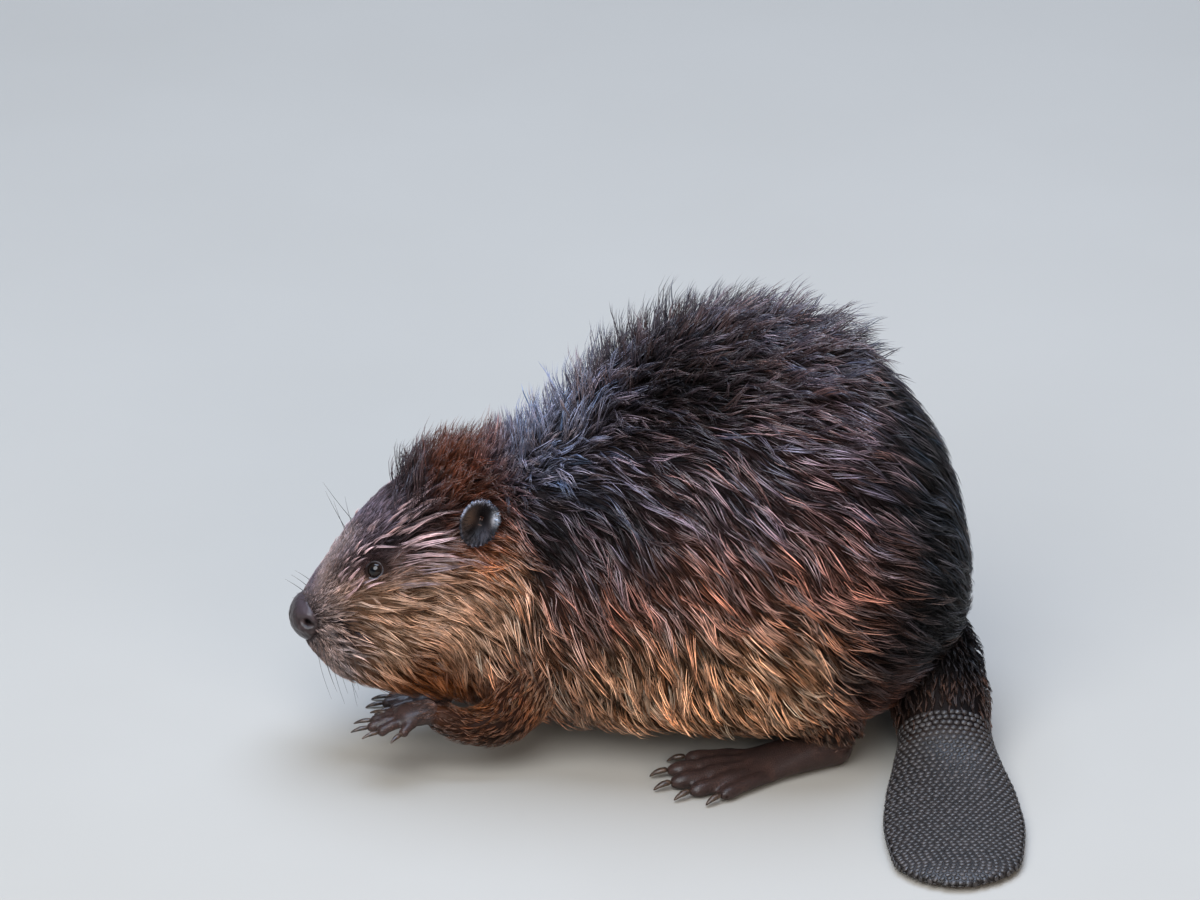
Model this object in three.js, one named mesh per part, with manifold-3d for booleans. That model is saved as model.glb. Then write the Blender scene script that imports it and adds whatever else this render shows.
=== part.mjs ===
// Beaver, life size, still model: hunched on its hind feet with the head stretched forward and low,
// the left forepaw lifted, the tail swung round to the left and laid flat.
// Millimetres, +Z up, head toward -X, the animal's left side toward -Y, floor at z = 0.
// All flesh shapes are the outer form of the wet coat, out to the mean of the hair tips.

import * as THREE from 'three';
import { mergeVertices } from 'three/addons/utils/BufferGeometryUtils.js';
import Module from 'manifold-3d';

const wasm = await Module();
wasm.setup();

// ---- driving dimensions -------------------------------------------------------------------------

const GAP = 0.35; // clear space between neighbouring pieces

// Body stations from nose to rump: top and under are (x, z) on the centre plane, half is the half
// width, egg narrows the upper half, full squares the lower half (2 is a plain ellipse).
const BODY_STATIONS = [
  { top: [-268.5, 118], under: [-268, 112], half: 4, egg: 0, full: 2 }, // nose front
  { top: [-266, 124], under: [-264, 101], half: 11, egg: 0, full: 2 },
  { top: [-260, 131], under: [-257, 88], half: 20.5, egg: 0, full: 2.1 }, // nose pad and lips
  { top: [-251, 146], under: [-248, 76], half: 26.5, egg: 0.02, full: 2.3 }, // whisker pads
  { top: [-237, 166], under: [-236, 63], half: 35, egg: 0.05, full: 2.3 },
  { top: [-220, 190], under: [-218, 53], half: 43.5, egg: 0.06, full: 2.3 },
  { top: [-203, 208], under: [-198, 47], half: 52, egg: 0.06, full: 2.3 }, // eyes
  { top: [-182, 224], under: [-176, 43], half: 59, egg: 0.05, full: 2.3 },
  { top: [-156, 237], under: [-152, 39], half: 65, egg: 0.05, full: 2.3 }, // cheeks
  { top: [-126, 244], under: [-126, 34], half: 70, egg: 0.05, full: 2.3 }, // ears
  { top: [-94, 251], under: [-98, 28], half: 78, egg: 0.08, full: 2.4 }, // nape
  { top: [-62, 275], under: [-68, 22], half: 89, egg: 0.12, full: 2.5 },
  { top: [-28, 307], under: [-34, 18], half: 101, egg: 0.14, full: 2.6 }, // shoulders
  { top: [8, 330], under: [4, 15], half: 112, egg: 0.15, full: 2.7 },
  { top: [44, 346], under: [42, 14], half: 121, egg: 0.16, full: 2.8 },
  { top: [84, 351], under: [82, 14], half: 128, egg: 0.16, full: 2.8 }, // top of the back
  { top: [124, 344], under: [120, 15], half: 131, egg: 0.15, full: 2.8 },
  { top: [162, 327], under: [156, 18], half: 127, egg: 0.14, full: 2.7 }, // haunches
  { top: [198, 299], under: [188, 24], half: 117, egg: 0.12, full: 2.6 },
  { top: [231, 257], under: [217, 34], half: 99, egg: 0.1, full: 2.4 },
  { top: [254, 207], under: [240, 47], half: 75, egg: 0.06, full: 2.2 }, // rump
  { top: [264, 158], under: [254, 64], half: 48, egg: 0.03, full: 2 },
  { top: [267, 118], under: [263, 88], half: 18, egg: 0, full: 2 },
];
const BODY_RINGS = 36;
const BODY_AROUND = 22;
const BODY_ENDS = [-271, 268]; // x of the body's foremost and hindmost points

// Swellings on both sides of the body: centre, reach along X, Y and Z, and height
const SWELLINGS = [
  { centre: [-178, 55, 92], reach: [38, 40, 34], height: 5 }, // cheek muscle
  { centre: [-244, 32, 92], reach: [15, 20, 15], height: 4.5 }, // whisker pad
  { centre: [-55, 90, 110], reach: [55, 50, 70], height: 7 }, // shoulder blade
  { centre: [128, 125, 78], reach: [70, 60, 62], height: 7 }, // haunch
];

// Thin flat cuts that part the body, each through a point with its normal toward the rump
const HEAD_CUT = { point: [-104, 0, 240], normal: [1, 0, -0.2] };
const NECK_CUT = { point: [-52, 0, 266], normal: [1, 0, -0.16] };
const MOUTH_CUT = { point: [-262, 0, 80], normal: [-0.1, 0, 1] };

// Hind leg: the part of the haunch inside an ellipsoid, and the furred shank below it, whose points
// are [x, y, z, across, up] from the thigh to the heel
const HAUNCH = { centre: [118, 128, 76], radii: [88, 66, 88] };
const SHANK = [[112, 88, 84, 42, 42], [134, 90, 54, 37, 33], [150, 88, 30, 26, 22], [155, 87, 16, 19, 15]];

// Places on the body: station counted from the nose, and degrees round from the back
const EYE = { station: 5.56, angle: 57, radius: 8, depth: 8.5 };
const EYE_DISH = { radius: 14, out: 8 }; // shallow dish in the coat round the eye
const EAR = {
  station: 8.96, angle: 50.5, out: 9, width: 35, height: 39, depth: 7, thickness: 4.5,
  facing: [-0.3, 0.88, 0.36], lean: 10, lip: 0.93, // share of the radius where the rim starts to round
};

const NOSE_PAD = { centre: [-251, 0, 112], radii: [20.5, 24.5, 20] };
const NOSTRIL = { centre: [-261, 21, 115], radii: [7, 4.5, 3.5], yaw: 60 };

// Forelegs: points [x, y, z, across, up] from shoulder to wrist
const FORELEGS = {
  left: [
    [-70, -48, 102, 28, 32], [-92, -57, 67, 27, 28], [-113, -65, 44, 21, 20],
    [-140, -69, 42, 15, 14], [-172, -67, 56, 11, 10],
  ],
  right: [
    [-70, 48, 112, 28, 32], [-85, 58, 78, 30, 31], [-96, 62, 52, 25, 24],
    [-116, 60, 30, 16, 16], [-146, 57, 12, 11, 9],
  ],
};

// Forepaws: wrist place, the turn of the palm about Z, how much the digits bend down, and how far
// the cut through the wrist leans; the palm's points run from the wrist to the digits
const FOREPAWS = {
  left: { wrist: [-168, -67, 55], turn: 2, bend: 10, lean: 0 },
  right: { wrist: [-142, 57, 8], turn: -4, bend: 2, lean: 0.6 },
};
const PALM = [[6, 0, 0, 11, 9], [-8, 0, -0.5, 13, 8.5], [-20, 0, -2, 15, 7.5], [-30, 0, -4, 12, 5]];
const FORE_DIGITS = [
  { root: [-16, -12], angle: 42, length: 15, radius: 4 },
  { root: [-25, -9], angle: 14, length: 20, radius: 4.3 },
  { root: [-28, -2], angle: 3, length: 23, radius: 4.4 },
  { root: [-26, 5], angle: -9, length: 21, radius: 4.3 },
  { root: [-20, 10], angle: -32, length: 16, radius: 4 },
];
const FORE_DIGIT_BASE = -4.8; // height of the digits' middle line below the wrist's
const FORE_CLAW = { length: 13, radius: 2.2, drop: 3 };

// Hind feet: heel place and the outward turn of the foot
const HINDFOOT = { heel: [150, 86, 0], turn: 11 };
const SOLE = [
  [10, 0, 16, 16, 17], [-14, 0, 15, 18, 16], [-44, 0, 11, 22, 12], [-78, 0, 6, 27, 7], [-96, -1, 4, 22, 5],
];
const HIND_DIGITS = [
  { root: [-64, -20], angle: 20, length: 52, radius: 6 },
  { root: [-72, -12], angle: 11, length: 62, radius: 6.8 },
  { root: [-76, -2], angle: 2, length: 66, radius: 7.4 },
  { root: [-74, 8], angle: -8, length: 64, radius: 7.2 },
  { root: [-66, 17], angle: -19, length: 54, radius: 6.4 },
];
const HIND_DIGIT_BASE = 6;
const HIND_CLAW = { length: 13, radius: 3, drop: 4.5 };
// The web ends short of the toes' tips, is scalloped between them, and starts at a line on the sole
const WEB = { thickness: 4, rise: 3.5, short: 0.9, scallop: 14, start: -52, startHalf: 18 };

// Tail: points [x, y, z, across, up] from inside the rump to the tip
const TAIL = [
  [202, 0, 84, 42, 44], [225, -30, 62, 43, 42], [232, -62, 40, 40, 34], [231, -96, 24, 36, 24],
  [228, -128, 13, 42, 14], [224, -170, 8, 50, 9.5], [218, -222, 7, 54, 8], [212, -272, 6.5, 50, 7],
  [206, -316, 6, 38, 6],
];
const TAIL_CUT = { point: [232, -112, 20], normal: [0.02, -1, -0.25] };

// ---- small helpers ------------------------------------------------------------------------------

const degrees = THREE.MathUtils.degToRad;
const vector = (p) => new THREE.Vector3(...p);
const onSide = ([x, y, z], side) => [x, side * y, z]; // side is -1 on the left, +1 on the right

/** Smooth curve through points, read by t from 0 to 1 with equal steps between the points. */
const through = (points) => new THREE.CatmullRomCurve3(points.map(vector));

/** Closed geometry from rings of points, each ring joined to the next and the ends to a pole. */
function closedLoft(rings, startPole, endPole) {
  const around = rings[0].length;
  const positions = [startPole, ...rings.flat(), endPole].flatMap((p) => p.toArray());
  const faces = [];
  const last = rings.length * around + 1;
  const at = (ring, step) => 1 + ring * around + (step % around);
  for (let step = 0; step < around; step++) {
    faces.push(0, at(0, step + 1), at(0, step));
    faces.push(last, at(rings.length - 1, step), at(rings.length - 1, step + 1));
    for (let ring = 0; ring + 1 < rings.length; ring++) {
      faces.push(at(ring, step), at(ring, step + 1), at(ring + 1, step + 1));
      faces.push(at(ring, step), at(ring + 1, step + 1), at(ring + 1, step));
    }
  }
  const geometry = new THREE.BufferGeometry();
  geometry.setAttribute('position', new THREE.Float32BufferAttribute(positions, 3));
  geometry.setIndex(faces);
  return geometry;
}

/** Six times the signed volume of a geometry: negative when its faces point inward. */
function signedVolume(geometry) {
  const position = geometry.attributes.position;
  const index = geometry.index;
  const [a, b, c] = [new THREE.Vector3(), new THREE.Vector3(), new THREE.Vector3()];
  let sum = 0;
  for (let i = 0; i < index.count; i += 3) {
    a.fromBufferAttribute(position, index.getX(i));
    b.fromBufferAttribute(position, index.getX(i + 1));
    c.fromBufferAttribute(position, index.getX(i + 2));
    sum += a.dot(b.cross(c));
  }
  return sum;
}

/** Only the positions of a geometry, with shared corners merged and faces pointing out. */
function welded(geometry) {
  const bare = geometry.clone();
  bare.deleteAttribute('normal');
  bare.deleteAttribute('uv');
  const merged = mergeVertices(bare, 1e-3);
  if (signedVolume(merged) < 0) merged.setIndex(Array.from(merged.index.array).reverse());
  return merged;
}

/** The same smooth surface moved outward by an amount along its normals. */
function grown(geometry, amount) {
  const out = welded(geometry);
  out.computeVertexNormals();
  const position = out.attributes.position;
  const normal = out.attributes.normal;
  for (let i = 0; i < position.count; i++) {
    position.setXYZ(
      i,
      position.getX(i) + amount * normal.getX(i),
      position.getY(i) + amount * normal.getY(i),
      position.getZ(i) + amount * normal.getZ(i),
    );
  }
  return out;
}

/** A closed geometry as a solid for cutting and joining. */
function solid(geometry) {
  const mesh = welded(geometry);
  return new wasm.Manifold(new wasm.Mesh({
    numProp: 3,
    vertProperties: new Float32Array(mesh.attributes.position.array),
    triVerts: new Uint32Array(mesh.index.array),
  }));
}

/** A solid back as a geometry. */
function geometryOf(shape) {
  const mesh = shape.getMesh();
  const geometry = new THREE.BufferGeometry();
  geometry.setAttribute('position', new THREE.BufferAttribute(mesh.vertProperties, 3));
  geometry.setIndex(new THREE.BufferAttribute(mesh.triVerts, 1));
  return geometry;
}

/** Everything on the far side of a plane, starting half a gap beyond it. */
function beyond({ point, normal }, sign = 1) {
  const size = 1600;
  const out = vector(normal).normalize().multiplyScalar(sign);
  const box = new THREE.BoxGeometry(size, size, size);
  box.applyQuaternion(new THREE.Quaternion().setFromUnitVectors(new THREE.Vector3(0, 0, 1), out));
  const centre = vector(point).addScaledVector(out, size / 2 + GAP / 2);
  return solid(box.translate(centre.x, centre.y, centre.z));
}

const FLOOR = { point: [0, 0, -GAP / 2], normal: [0, 0, 1] };
const aboveFloor = (shape) => shape.intersect(beyond(FLOOR));

/** An ellipsoid, optionally turned about Z. */
function ellipsoid(centre, radii, detail, yaw = 0) {
  const ball = new THREE.SphereGeometry(1, ...detail);
  ball.rotateX(Math.PI / 2).scale(...radii).rotateZ(degrees(yaw)).translate(...centre);
  return ball;
}

/**
 * A limb: an oval section carried along a smooth path. Each point is [x, y, z, across, up], with the
 * two half sizes of the oval; both ends are rounded over the first and last stretch of the path.
 */
function limb(points, { rings = 12, around = 12, round = 0.12, upright = [0, 0, 1], grow = 0 } = {}) {
  const path = through(points.map((p) => p.slice(0, 3)));
  const sizes = through(points.map((p) => [p[3], p[4], 0]));
  const loops = [];
  for (let ring = 0; ring < rings; ring++) {
    const t = (1 - Math.cos((Math.PI * (ring + 0.6)) / (rings + 0.2))) / 2;
    const centre = path.getPoint(t);
    const along = path.getTangent(t);
    const across = vector(upright).cross(along).normalize();
    const up = along.clone().cross(across);
    const size = sizes.getPoint(t);
    const fromEnd = Math.min(1, Math.min(t, 1 - t) / round);
    const taper = Math.sqrt(1 - (1 - fromEnd) ** 2);
    loops.push(Array.from({ length: around }, (_, step) => {
      const angle = (2 * Math.PI * step) / around;
      return centre.clone()
        .addScaledVector(across, (size.x * taper + grow) * Math.cos(angle))
        .addScaledVector(up, (size.y * taper + grow) * Math.sin(angle));
    }));
  }
  const start = path.getPoint(0).addScaledVector(path.getTangent(0), -grow);
  const end = path.getPoint(1).addScaledVector(path.getTangent(1), grow);
  return closedLoft(loops, start, end);
}

// ---- body: head, neck and trunk as one form -----------------------------------------------------

const bodyTop = through(BODY_STATIONS.map((s) => [s.top[0], 0, s.top[1]]));
const bodyUnder = through(BODY_STATIONS.map((s) => [s.under[0], 0, s.under[1]]));
const bodyForm = through(BODY_STATIONS.map((s) => [s.half, s.egg, s.full]));

/** How far the swellings push a body point outward. */
function swelling(p) {
  return SWELLINGS.reduce((sum, { centre, reach, height }) => {
    const dx = (p.x - centre[0]) / reach[0];
    const dy = (Math.abs(p.y) - centre[1]) / reach[1];
    const dz = (p.z - centre[2]) / reach[2];
    return sum + height * Math.exp(-(dx * dx + dy * dy + dz * dz));
  }, 0);
}

/** Point on the body: t runs nose to rump, angle runs round from the back over the left side. */
function bodyPoint(t, angle) {
  const top = bodyTop.getPoint(t);
  const under = bodyUnder.getPoint(t);
  const { x: half, y: egg, z: full } = bodyForm.getPoint(t);
  const centre = top.clone().add(under).multiplyScalar(0.5);
  const power = Math.cos(angle) < 0 ? 2 / full : 1;
  const rise = Math.sign(Math.cos(angle)) * Math.abs(Math.cos(angle)) ** power;
  const spread = Math.sign(Math.sin(angle)) * Math.abs(Math.sin(angle)) ** power * (1 - egg * rise);
  const p = centre.clone().addScaledVector(top.sub(centre), rise);
  p.y -= half * spread;
  const outward = p.clone().sub(centre).normalize();
  return p.addScaledVector(outward, swelling(p));
}

function bodyGeometry() {
  const rings = [];
  for (let ring = 0; ring < BODY_RINGS; ring++) {
    const t = ring / (BODY_RINGS - 1);
    rings.push(Array.from({ length: BODY_AROUND }, (_, step) =>
      bodyPoint(t, (2 * Math.PI * step) / BODY_AROUND)));
  }
  const [front, rear] = BODY_ENDS.map((x, t) =>
    bodyTop.getPoint(t).add(bodyUnder.getPoint(t)).multiplyScalar(0.5).setX(x));
  return closedLoft(rings, front, rear);
}

/** Place and outward direction on the body at a station and an angle in degrees, by differences. */
function bodySpot(station, angle) {
  const t = station / (BODY_STATIONS.length - 1);
  const turn = degrees(angle);
  const step = 1e-3;
  const point = bodyPoint(t, turn);
  const along = bodyPoint(t + step, turn).sub(point);
  const round = bodyPoint(t, turn + step).sub(point);
  return { point, outward: round.cross(along).normalize() };
}

const bodyShape = bodyGeometry();
const body = solid(bodyShape);
const bodyGrown = solid(grown(bodyShape, GAP));

// ---- named pieces -------------------------------------------------------------------------------

const FINISHES = {
  fur_back: { color: 0x1d1412, roughness: 0.55, metalness: 0 },
  fur_flank: { color: 0x3a2018, roughness: 0.55, metalness: 0 },
  fur_face: { color: 0x5b3c2a, roughness: 0.6, metalness: 0 },
  ear: { color: 0x241d1b, roughness: 0.7, metalness: 0 },
  nose: { color: 0x2a2523, roughness: 0.5, metalness: 0 },
  eye: { color: 0x07080a, roughness: 0.05, metalness: 0 },
  paw: { color: 0x2b1a15, roughness: 0.5, metalness: 0 },
  claw: { color: 0x1f1712, roughness: 0.35, metalness: 0 },
  tail: { color: 0x2a211d, roughness: 0.5, metalness: 0 },
};

const beaver = new THREE.Group();

function addPiece(name, shape, finish) {
  const geometry = shape.isBufferGeometry ? shape : geometryOf(shape);
  const mesh = new THREE.Mesh(geometry, new THREE.MeshStandardMaterial(FINISHES[finish]));
  mesh.name = name;
  beaver.add(mesh);
}

const SIDES = [['left', -1], ['right', 1]];

// Eyes and the shallow dishes that they sit in
function ballAt(spot, out, radius, detail, side) {
  const [x, y, z] = spot.point.clone().addScaledVector(spot.outward, out).toArray();
  return ellipsoid([x, -side * y, z], Array(3).fill(radius), detail);
}

const eyeSpot = bodySpot(EYE.station, EYE.angle);
const eyeBall = (side, grow) =>
  ballAt(eyeSpot, -EYE.depth, EYE.radius + grow, [12, 8], side);
const eyeDish = (side) => ballAt(eyeSpot, EYE_DISH.out, EYE_DISH.radius, [12, 10], side);

// Ears: a round cup whose lower part is buried in the head
function earShape(side) {
  const { depth, thickness, lip } = EAR;
  const { point, outward } = bodySpot(EAR.station, EAR.angle);
  const [x, y, z] = point.addScaledVector(outward, EAR.out).toArray();
  const steps = 3;
  const bowl = (r) => -depth * (1 - r * r);
  const profile = [];
  for (let i = 0; i <= steps; i++) profile.push(new THREE.Vector2(lip * (i / steps), bowl(i / steps)));
  profile.push(new THREE.Vector2(1, -thickness / 2));
  for (let i = steps; i >= 0; i--) {
    profile.push(new THREE.Vector2(lip * (i / steps), bowl(i / steps) - thickness));
  }
  const cup = new THREE.LatheGeometry(profile, 14);
  cup.scale(EAR.width / 2, 1, EAR.height / 2);
  const facing = vector(onSide(EAR.facing, side)).normalize();
  const upward = new THREE.Vector3(Math.sin(degrees(EAR.lean)), 0, Math.cos(degrees(EAR.lean)));
  const across = facing.clone().cross(upward).normalize();
  const frame = new THREE.Matrix4().makeBasis(across, facing, across.clone().cross(facing));
  return solid(cup.applyMatrix4(frame).translate(x, -side * y, z));
}

// Nose pad with two nostrils
const nosePad = solid(ellipsoid(NOSE_PAD.centre, NOSE_PAD.radii, [14, 9]));
const nosePadRoom = solid(ellipsoid(NOSE_PAD.centre, NOSE_PAD.radii.map((r) => r + GAP), [14, 9]));
const nostrils = SIDES.map(([, side]) =>
  solid(ellipsoid(onSide(NOSTRIL.centre, side), NOSTRIL.radii, [8, 6], -side * NOSTRIL.yaw)));
addPiece('nose', nostrils.reduce((pad, hole) => pad.subtract(hole), nosePad), 'nose');

let headBlock = body.intersect(beyond(HEAD_CUT, -1)).subtract(nosePadRoom);
for (const [, side] of SIDES) {
  headBlock = headBlock.subtract(solid(eyeDish(side))).subtract(solid(eyeBall(side, GAP)));
}
addPiece('head', headBlock.intersect(beyond(MOUTH_CUT)), 'fur_face');
addPiece('lower_jaw', headBlock.intersect(beyond(MOUTH_CUT, -1)), 'fur_face');
for (const [word, side] of SIDES) {
  addPiece(`eye_${word}`, eyeBall(side, 0), 'eye');
  addPiece(`ear_${word}`, earShape(side).subtract(bodyGrown), 'ear');
}

addPiece('neck', body.intersect(beyond(HEAD_CUT)).intersect(beyond(NECK_CUT, -1)), 'fur_flank');

const haunch = (side, grow) =>
  solid(ellipsoid(onSide(HAUNCH.centre, side), HAUNCH.radii.map((r) => r + grow), [15, 10]));
const shank = (side, grow) => solid(limb(
  SHANK.map((p) => [...onSide(p.slice(0, 3), side), ...p.slice(3)]),
  { rings: 6, around: 10, round: 0.3, grow },
));
let trunk = body.intersect(beyond(NECK_CUT));
for (const [word, side] of SIDES) {
  trunk = trunk.subtract(haunch(side, GAP)).subtract(shank(side, GAP));
  const thigh = body.intersect(haunch(side, 0));
  addPiece(`hindleg_${word}`, aboveFloor(thigh.add(shank(side, 0))), 'fur_flank');
}
addPiece('trunk', trunk, 'fur_back');

// ---- forelegs -----------------------------------------------------------------------------------

/** A digit as limb points: it leaves its root, arches up a little and comes down to the tip. */
function digitPoints({ root, angle, length, radius }, bend, base) {
  const [ax, ay] = [-Math.cos(degrees(angle)), -Math.sin(degrees(angle))];
  const drop = length * Math.sin(degrees(bend));
  const spot = (share, lift, size) => [
    root[0] + ax * length * share, root[1] + ay * length * share,
    base + lift - drop * share, radius * size, radius * size * 0.95,
  ];
  return [spot(-0.25, 0, 1), spot(0.35, 1.8, 1), spot(0.75, 0.6, 0.98), spot(1, -0.4, 0.92)];
}

/** A claw as limb points: it goes on from the digit's tip and curves down to a thin end. */
function clawPoints({ root, angle, length }, claw, bend, base) {
  const [ax, ay] = [-Math.cos(degrees(angle)), -Math.sin(degrees(angle))];
  const drop = length * Math.sin(degrees(bend));
  const spot = (reach, down, size) => [
    root[0] + ax * (length + reach), root[1] + ay * (length + reach),
    base + 1 - drop - down, claw.radius * size, claw.radius * size * 0.8,
  ];
  return [
    spot(GAP, 0, 0.95), spot(claw.length * 0.35, claw.drop * 0.1, 0.95),
    spot(claw.length * 0.7, claw.drop * 0.45, 0.65), spot(claw.length, claw.drop, 0.3),
  ];
}

/** The move that puts a foot, drawn along -X from its origin, in its place. */
function footPlace([x, y, z], turn, side) {
  const place = new THREE.Matrix4().makeTranslation(x, y, z);
  place.multiply(new THREE.Matrix4().makeRotationZ(degrees(-side * turn)));
  return place.multiply(new THREE.Matrix4().makeScale(1, -side, 1));
}

/** Adds a foot and its five claws; the digits are numbered from the inner side. */
function addFoot(name, clawName, palm, digits, claw, place, { bend, base }, clear) {
  let foot = palm.map((g) => solid(g.applyMatrix4(place))).reduce((a, b) => a.add(b));
  digits.forEach((digit, i) => {
    const toe = limb(digitPoints(digit, bend, base), { rings: 4, around: 5, round: 0.16 });
    foot = foot.add(solid(toe.applyMatrix4(place)));
    const nail = limb(clawPoints(digit, claw, bend, base), { rings: 3, around: 5, round: 0.16 });
    addPiece(`${clawName}_${i + 1}`, solid(nail.applyMatrix4(place)), 'claw');
  });
  addPiece(name, aboveFloor(foot.subtract(clear)), 'paw');
}

for (const [word, side] of SIDES) {
  const legShape = limb(FORELEGS[word], { rings: 9, around: 10, round: 0.1, upright: [0, side, 0] });
  const { wrist, turn, bend, lean } = FOREPAWS[word];
  const palm = [limb(PALM, { rings: 5, around: 8, round: 0.2 })];
  const wristCut = { point: wrist, normal: [1, 0, lean] };
  const legSolid = solid(legShape).subtract(bodyGrown).intersect(beyond(wristCut));
  addPiece(`foreleg_${word}`, aboveFloor(legSolid), 'fur_flank');
  const place = footPlace(wrist, turn, side);
  addFoot(`forepaw_${word}`, `claw_fore_${word}`, palm, FORE_DIGITS, FORE_CLAW, place,
    { bend, base: FORE_DIGIT_BASE }, beyond(wristCut));
}

// ---- hind feet ----------------------------------------------------------------------------------

/** The web as a flat fan between the digits, scalloped between their tips. */
function webFan() {
  const tip = ({ root, angle, length }) => [
    root[0] - Math.cos(degrees(angle)) * length * WEB.short,
    root[1] - Math.sin(degrees(angle)) * length * WEB.short,
  ];
  const outline = new THREE.Shape();
  outline.moveTo(WEB.start, -WEB.startHalf);
  outline.lineTo(...tip(HIND_DIGITS[0]));
  for (let i = 1; i < HIND_DIGITS.length; i++) {
    const [from, to] = [tip(HIND_DIGITS[i - 1]), tip(HIND_DIGITS[i])];
    const between = [(from[0] + to[0]) / 2 + WEB.scallop, (from[1] + to[1]) / 2];
    outline.quadraticCurveTo(...between, ...to);
  }
  outline.lineTo(WEB.start, WEB.startHalf);
  const fan = new THREE.ExtrudeGeometry(outline, {
    depth: WEB.thickness, bevelEnabled: false, curveSegments: 2,
  });
  return fan.translate(0, 0, WEB.rise);
}

for (const [word, side] of SIDES) {
  const sole = [limb(SOLE, { rings: 6, around: 9, round: 0.16 }), webFan()];
  const place = footPlace(onSide(HINDFOOT.heel, side), HINDFOOT.turn, side);
  addFoot(`hindfoot_${word}`, `claw_hind_${word}`, sole, HIND_DIGITS, HIND_CLAW, place,
    { bend: 0, base: HIND_DIGIT_BASE }, bodyGrown.add(shank(side, GAP)));
}

// ---- tail ---------------------------------------------------------------------------------------

const tailSolid = solid(limb(TAIL, { rings: 19, around: 13, round: 0.1 })).subtract(bodyGrown);
addPiece('tail_root', aboveFloor(tailSolid.intersect(beyond(TAIL_CUT, -1))), 'fur_flank');
addPiece('tail_paddle', aboveFloor(tailSolid.intersect(beyond(TAIL_CUT))), 'tail');

// The origin is on the floor under the middle of the whole animal
const middle = new THREE.Box3().setFromObject(beaver).getCenter(new THREE.Vector3());
beaver.position.set(-middle.x, -middle.y, 0);

export default beaver;
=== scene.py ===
"""Life-size beaver standing still: one skin under a wet coat of locks, with eyes, nose pad, claws,
webbed feet and a scaled tail. Numbers are millimetres in the drawing frame, where the head points
toward -X, the left side toward -Y and the floor is z = 0; placed() turns them into metres."""

import bpy
import numpy as np
from mathutils import Matrix, Vector


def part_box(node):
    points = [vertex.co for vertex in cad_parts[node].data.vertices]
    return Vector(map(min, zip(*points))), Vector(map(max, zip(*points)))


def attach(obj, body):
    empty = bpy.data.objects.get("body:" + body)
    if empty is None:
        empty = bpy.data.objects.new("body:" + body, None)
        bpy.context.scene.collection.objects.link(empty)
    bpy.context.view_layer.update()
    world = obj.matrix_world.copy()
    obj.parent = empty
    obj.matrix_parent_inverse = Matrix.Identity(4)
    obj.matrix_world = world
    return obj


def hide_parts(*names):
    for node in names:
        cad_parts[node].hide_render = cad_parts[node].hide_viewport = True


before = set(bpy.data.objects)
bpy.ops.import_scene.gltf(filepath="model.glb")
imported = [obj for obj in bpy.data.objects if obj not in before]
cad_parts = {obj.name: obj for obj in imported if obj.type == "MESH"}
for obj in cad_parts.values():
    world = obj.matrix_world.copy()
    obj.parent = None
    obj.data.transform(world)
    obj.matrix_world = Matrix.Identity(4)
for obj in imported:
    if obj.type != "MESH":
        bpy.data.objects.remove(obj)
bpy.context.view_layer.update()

# ---- driving dimensions --------------------------------------------------------------------------

# Body stations from nose to rump: top x and z, under x and z, half width, egg and fullness
BODY_STATIONS = np.array([
    (-268.5, 118, -268, 112, 4, 0, 2), (-266, 124, -264, 101, 11, 0, 2),
    (-260, 131, -257, 88, 20.5, 0, 2.1), (-251, 146, -248, 76, 26.5, 0.02, 2.3),
    (-237, 166, -236, 63, 35, 0.05, 2.3), (-220, 190, -218, 53, 43.5, 0.06, 2.3),
    (-203, 208, -198, 47, 52, 0.06, 2.3), (-182, 224, -176, 43, 59, 0.05, 2.3),
    (-156, 237, -152, 39, 65, 0.05, 2.3), (-126, 244, -126, 34, 70, 0.05, 2.3),
    (-94, 251, -98, 28, 78, 0.08, 2.4), (-62, 275, -68, 22, 89, 0.12, 2.5),
    (-28, 307, -34, 18, 101, 0.14, 2.6), (8, 330, 4, 15, 112, 0.15, 2.7),
    (44, 346, 42, 14, 121, 0.16, 2.8), (84, 351, 82, 14, 128, 0.16, 2.8),
    (124, 344, 120, 15, 131, 0.15, 2.8), (162, 327, 156, 18, 127, 0.14, 2.7),
    (198, 299, 188, 24, 117, 0.12, 2.6), (231, 257, 217, 34, 99, 0.1, 2.4),
    (254, 207, 240, 47, 75, 0.06, 2.2), (264, 158, 254, 64, 48, 0.03, 2),
    (267, 118, 263, 88, 18, 0, 2),
])
LAST_STATION = len(BODY_STATIONS) - 1
BODY_POLES = (-269.5, 263)  # x of the skin's first and last point
SWELLINGS = [  # centre, reach along X, Y and Z, height
    ((-178, 55, 92), (38, 40, 34), 5),  # cheek muscle
    ((-244, 32, 92), (15, 20, 15), 4.5),  # whisker pad
    ((-55, 90, 110), (55, 50, 70), 7),  # shoulder blade
    ((128, 125, 78), (70, 60, 62), 7),  # haunch
]
SHANK = [(112, 88, 84, 42, 42), (134, 90, 54, 37, 33), (150, 88, 30, 26, 22), (155, 87, 16, 19, 15)]
FORELEGS = {
    "left": [(-70, -48, 102, 28, 32), (-92, -57, 67, 27, 28), (-113, -65, 44, 21, 20),
             (-140, -69, 42, 15, 14), (-172, -67, 56, 11, 10)],
    "right": [(-70, 48, 112, 28, 32), (-85, 58, 78, 30, 31), (-96, 62, 52, 25, 24),
              (-116, 60, 30, 16, 16), (-146, 57, 12, 11, 9)],
}
TAIL = [(202, 0, 84, 42, 44), (225, -30, 62, 43, 42), (232, -62, 40, 40, 34), (231, -96, 24, 36, 24),
        (228, -128, 13, 42, 14), (224, -170, 8, 50, 9.5), (218, -222, 7, 54, 8),
        (212, -272, 6.5, 50, 7), (206, -316, 6, 38, 6)]
TAIL_BARE = 0.43  # share of the tail's path where the fur gives way to scales
TAIL_ROWS = 220

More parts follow.
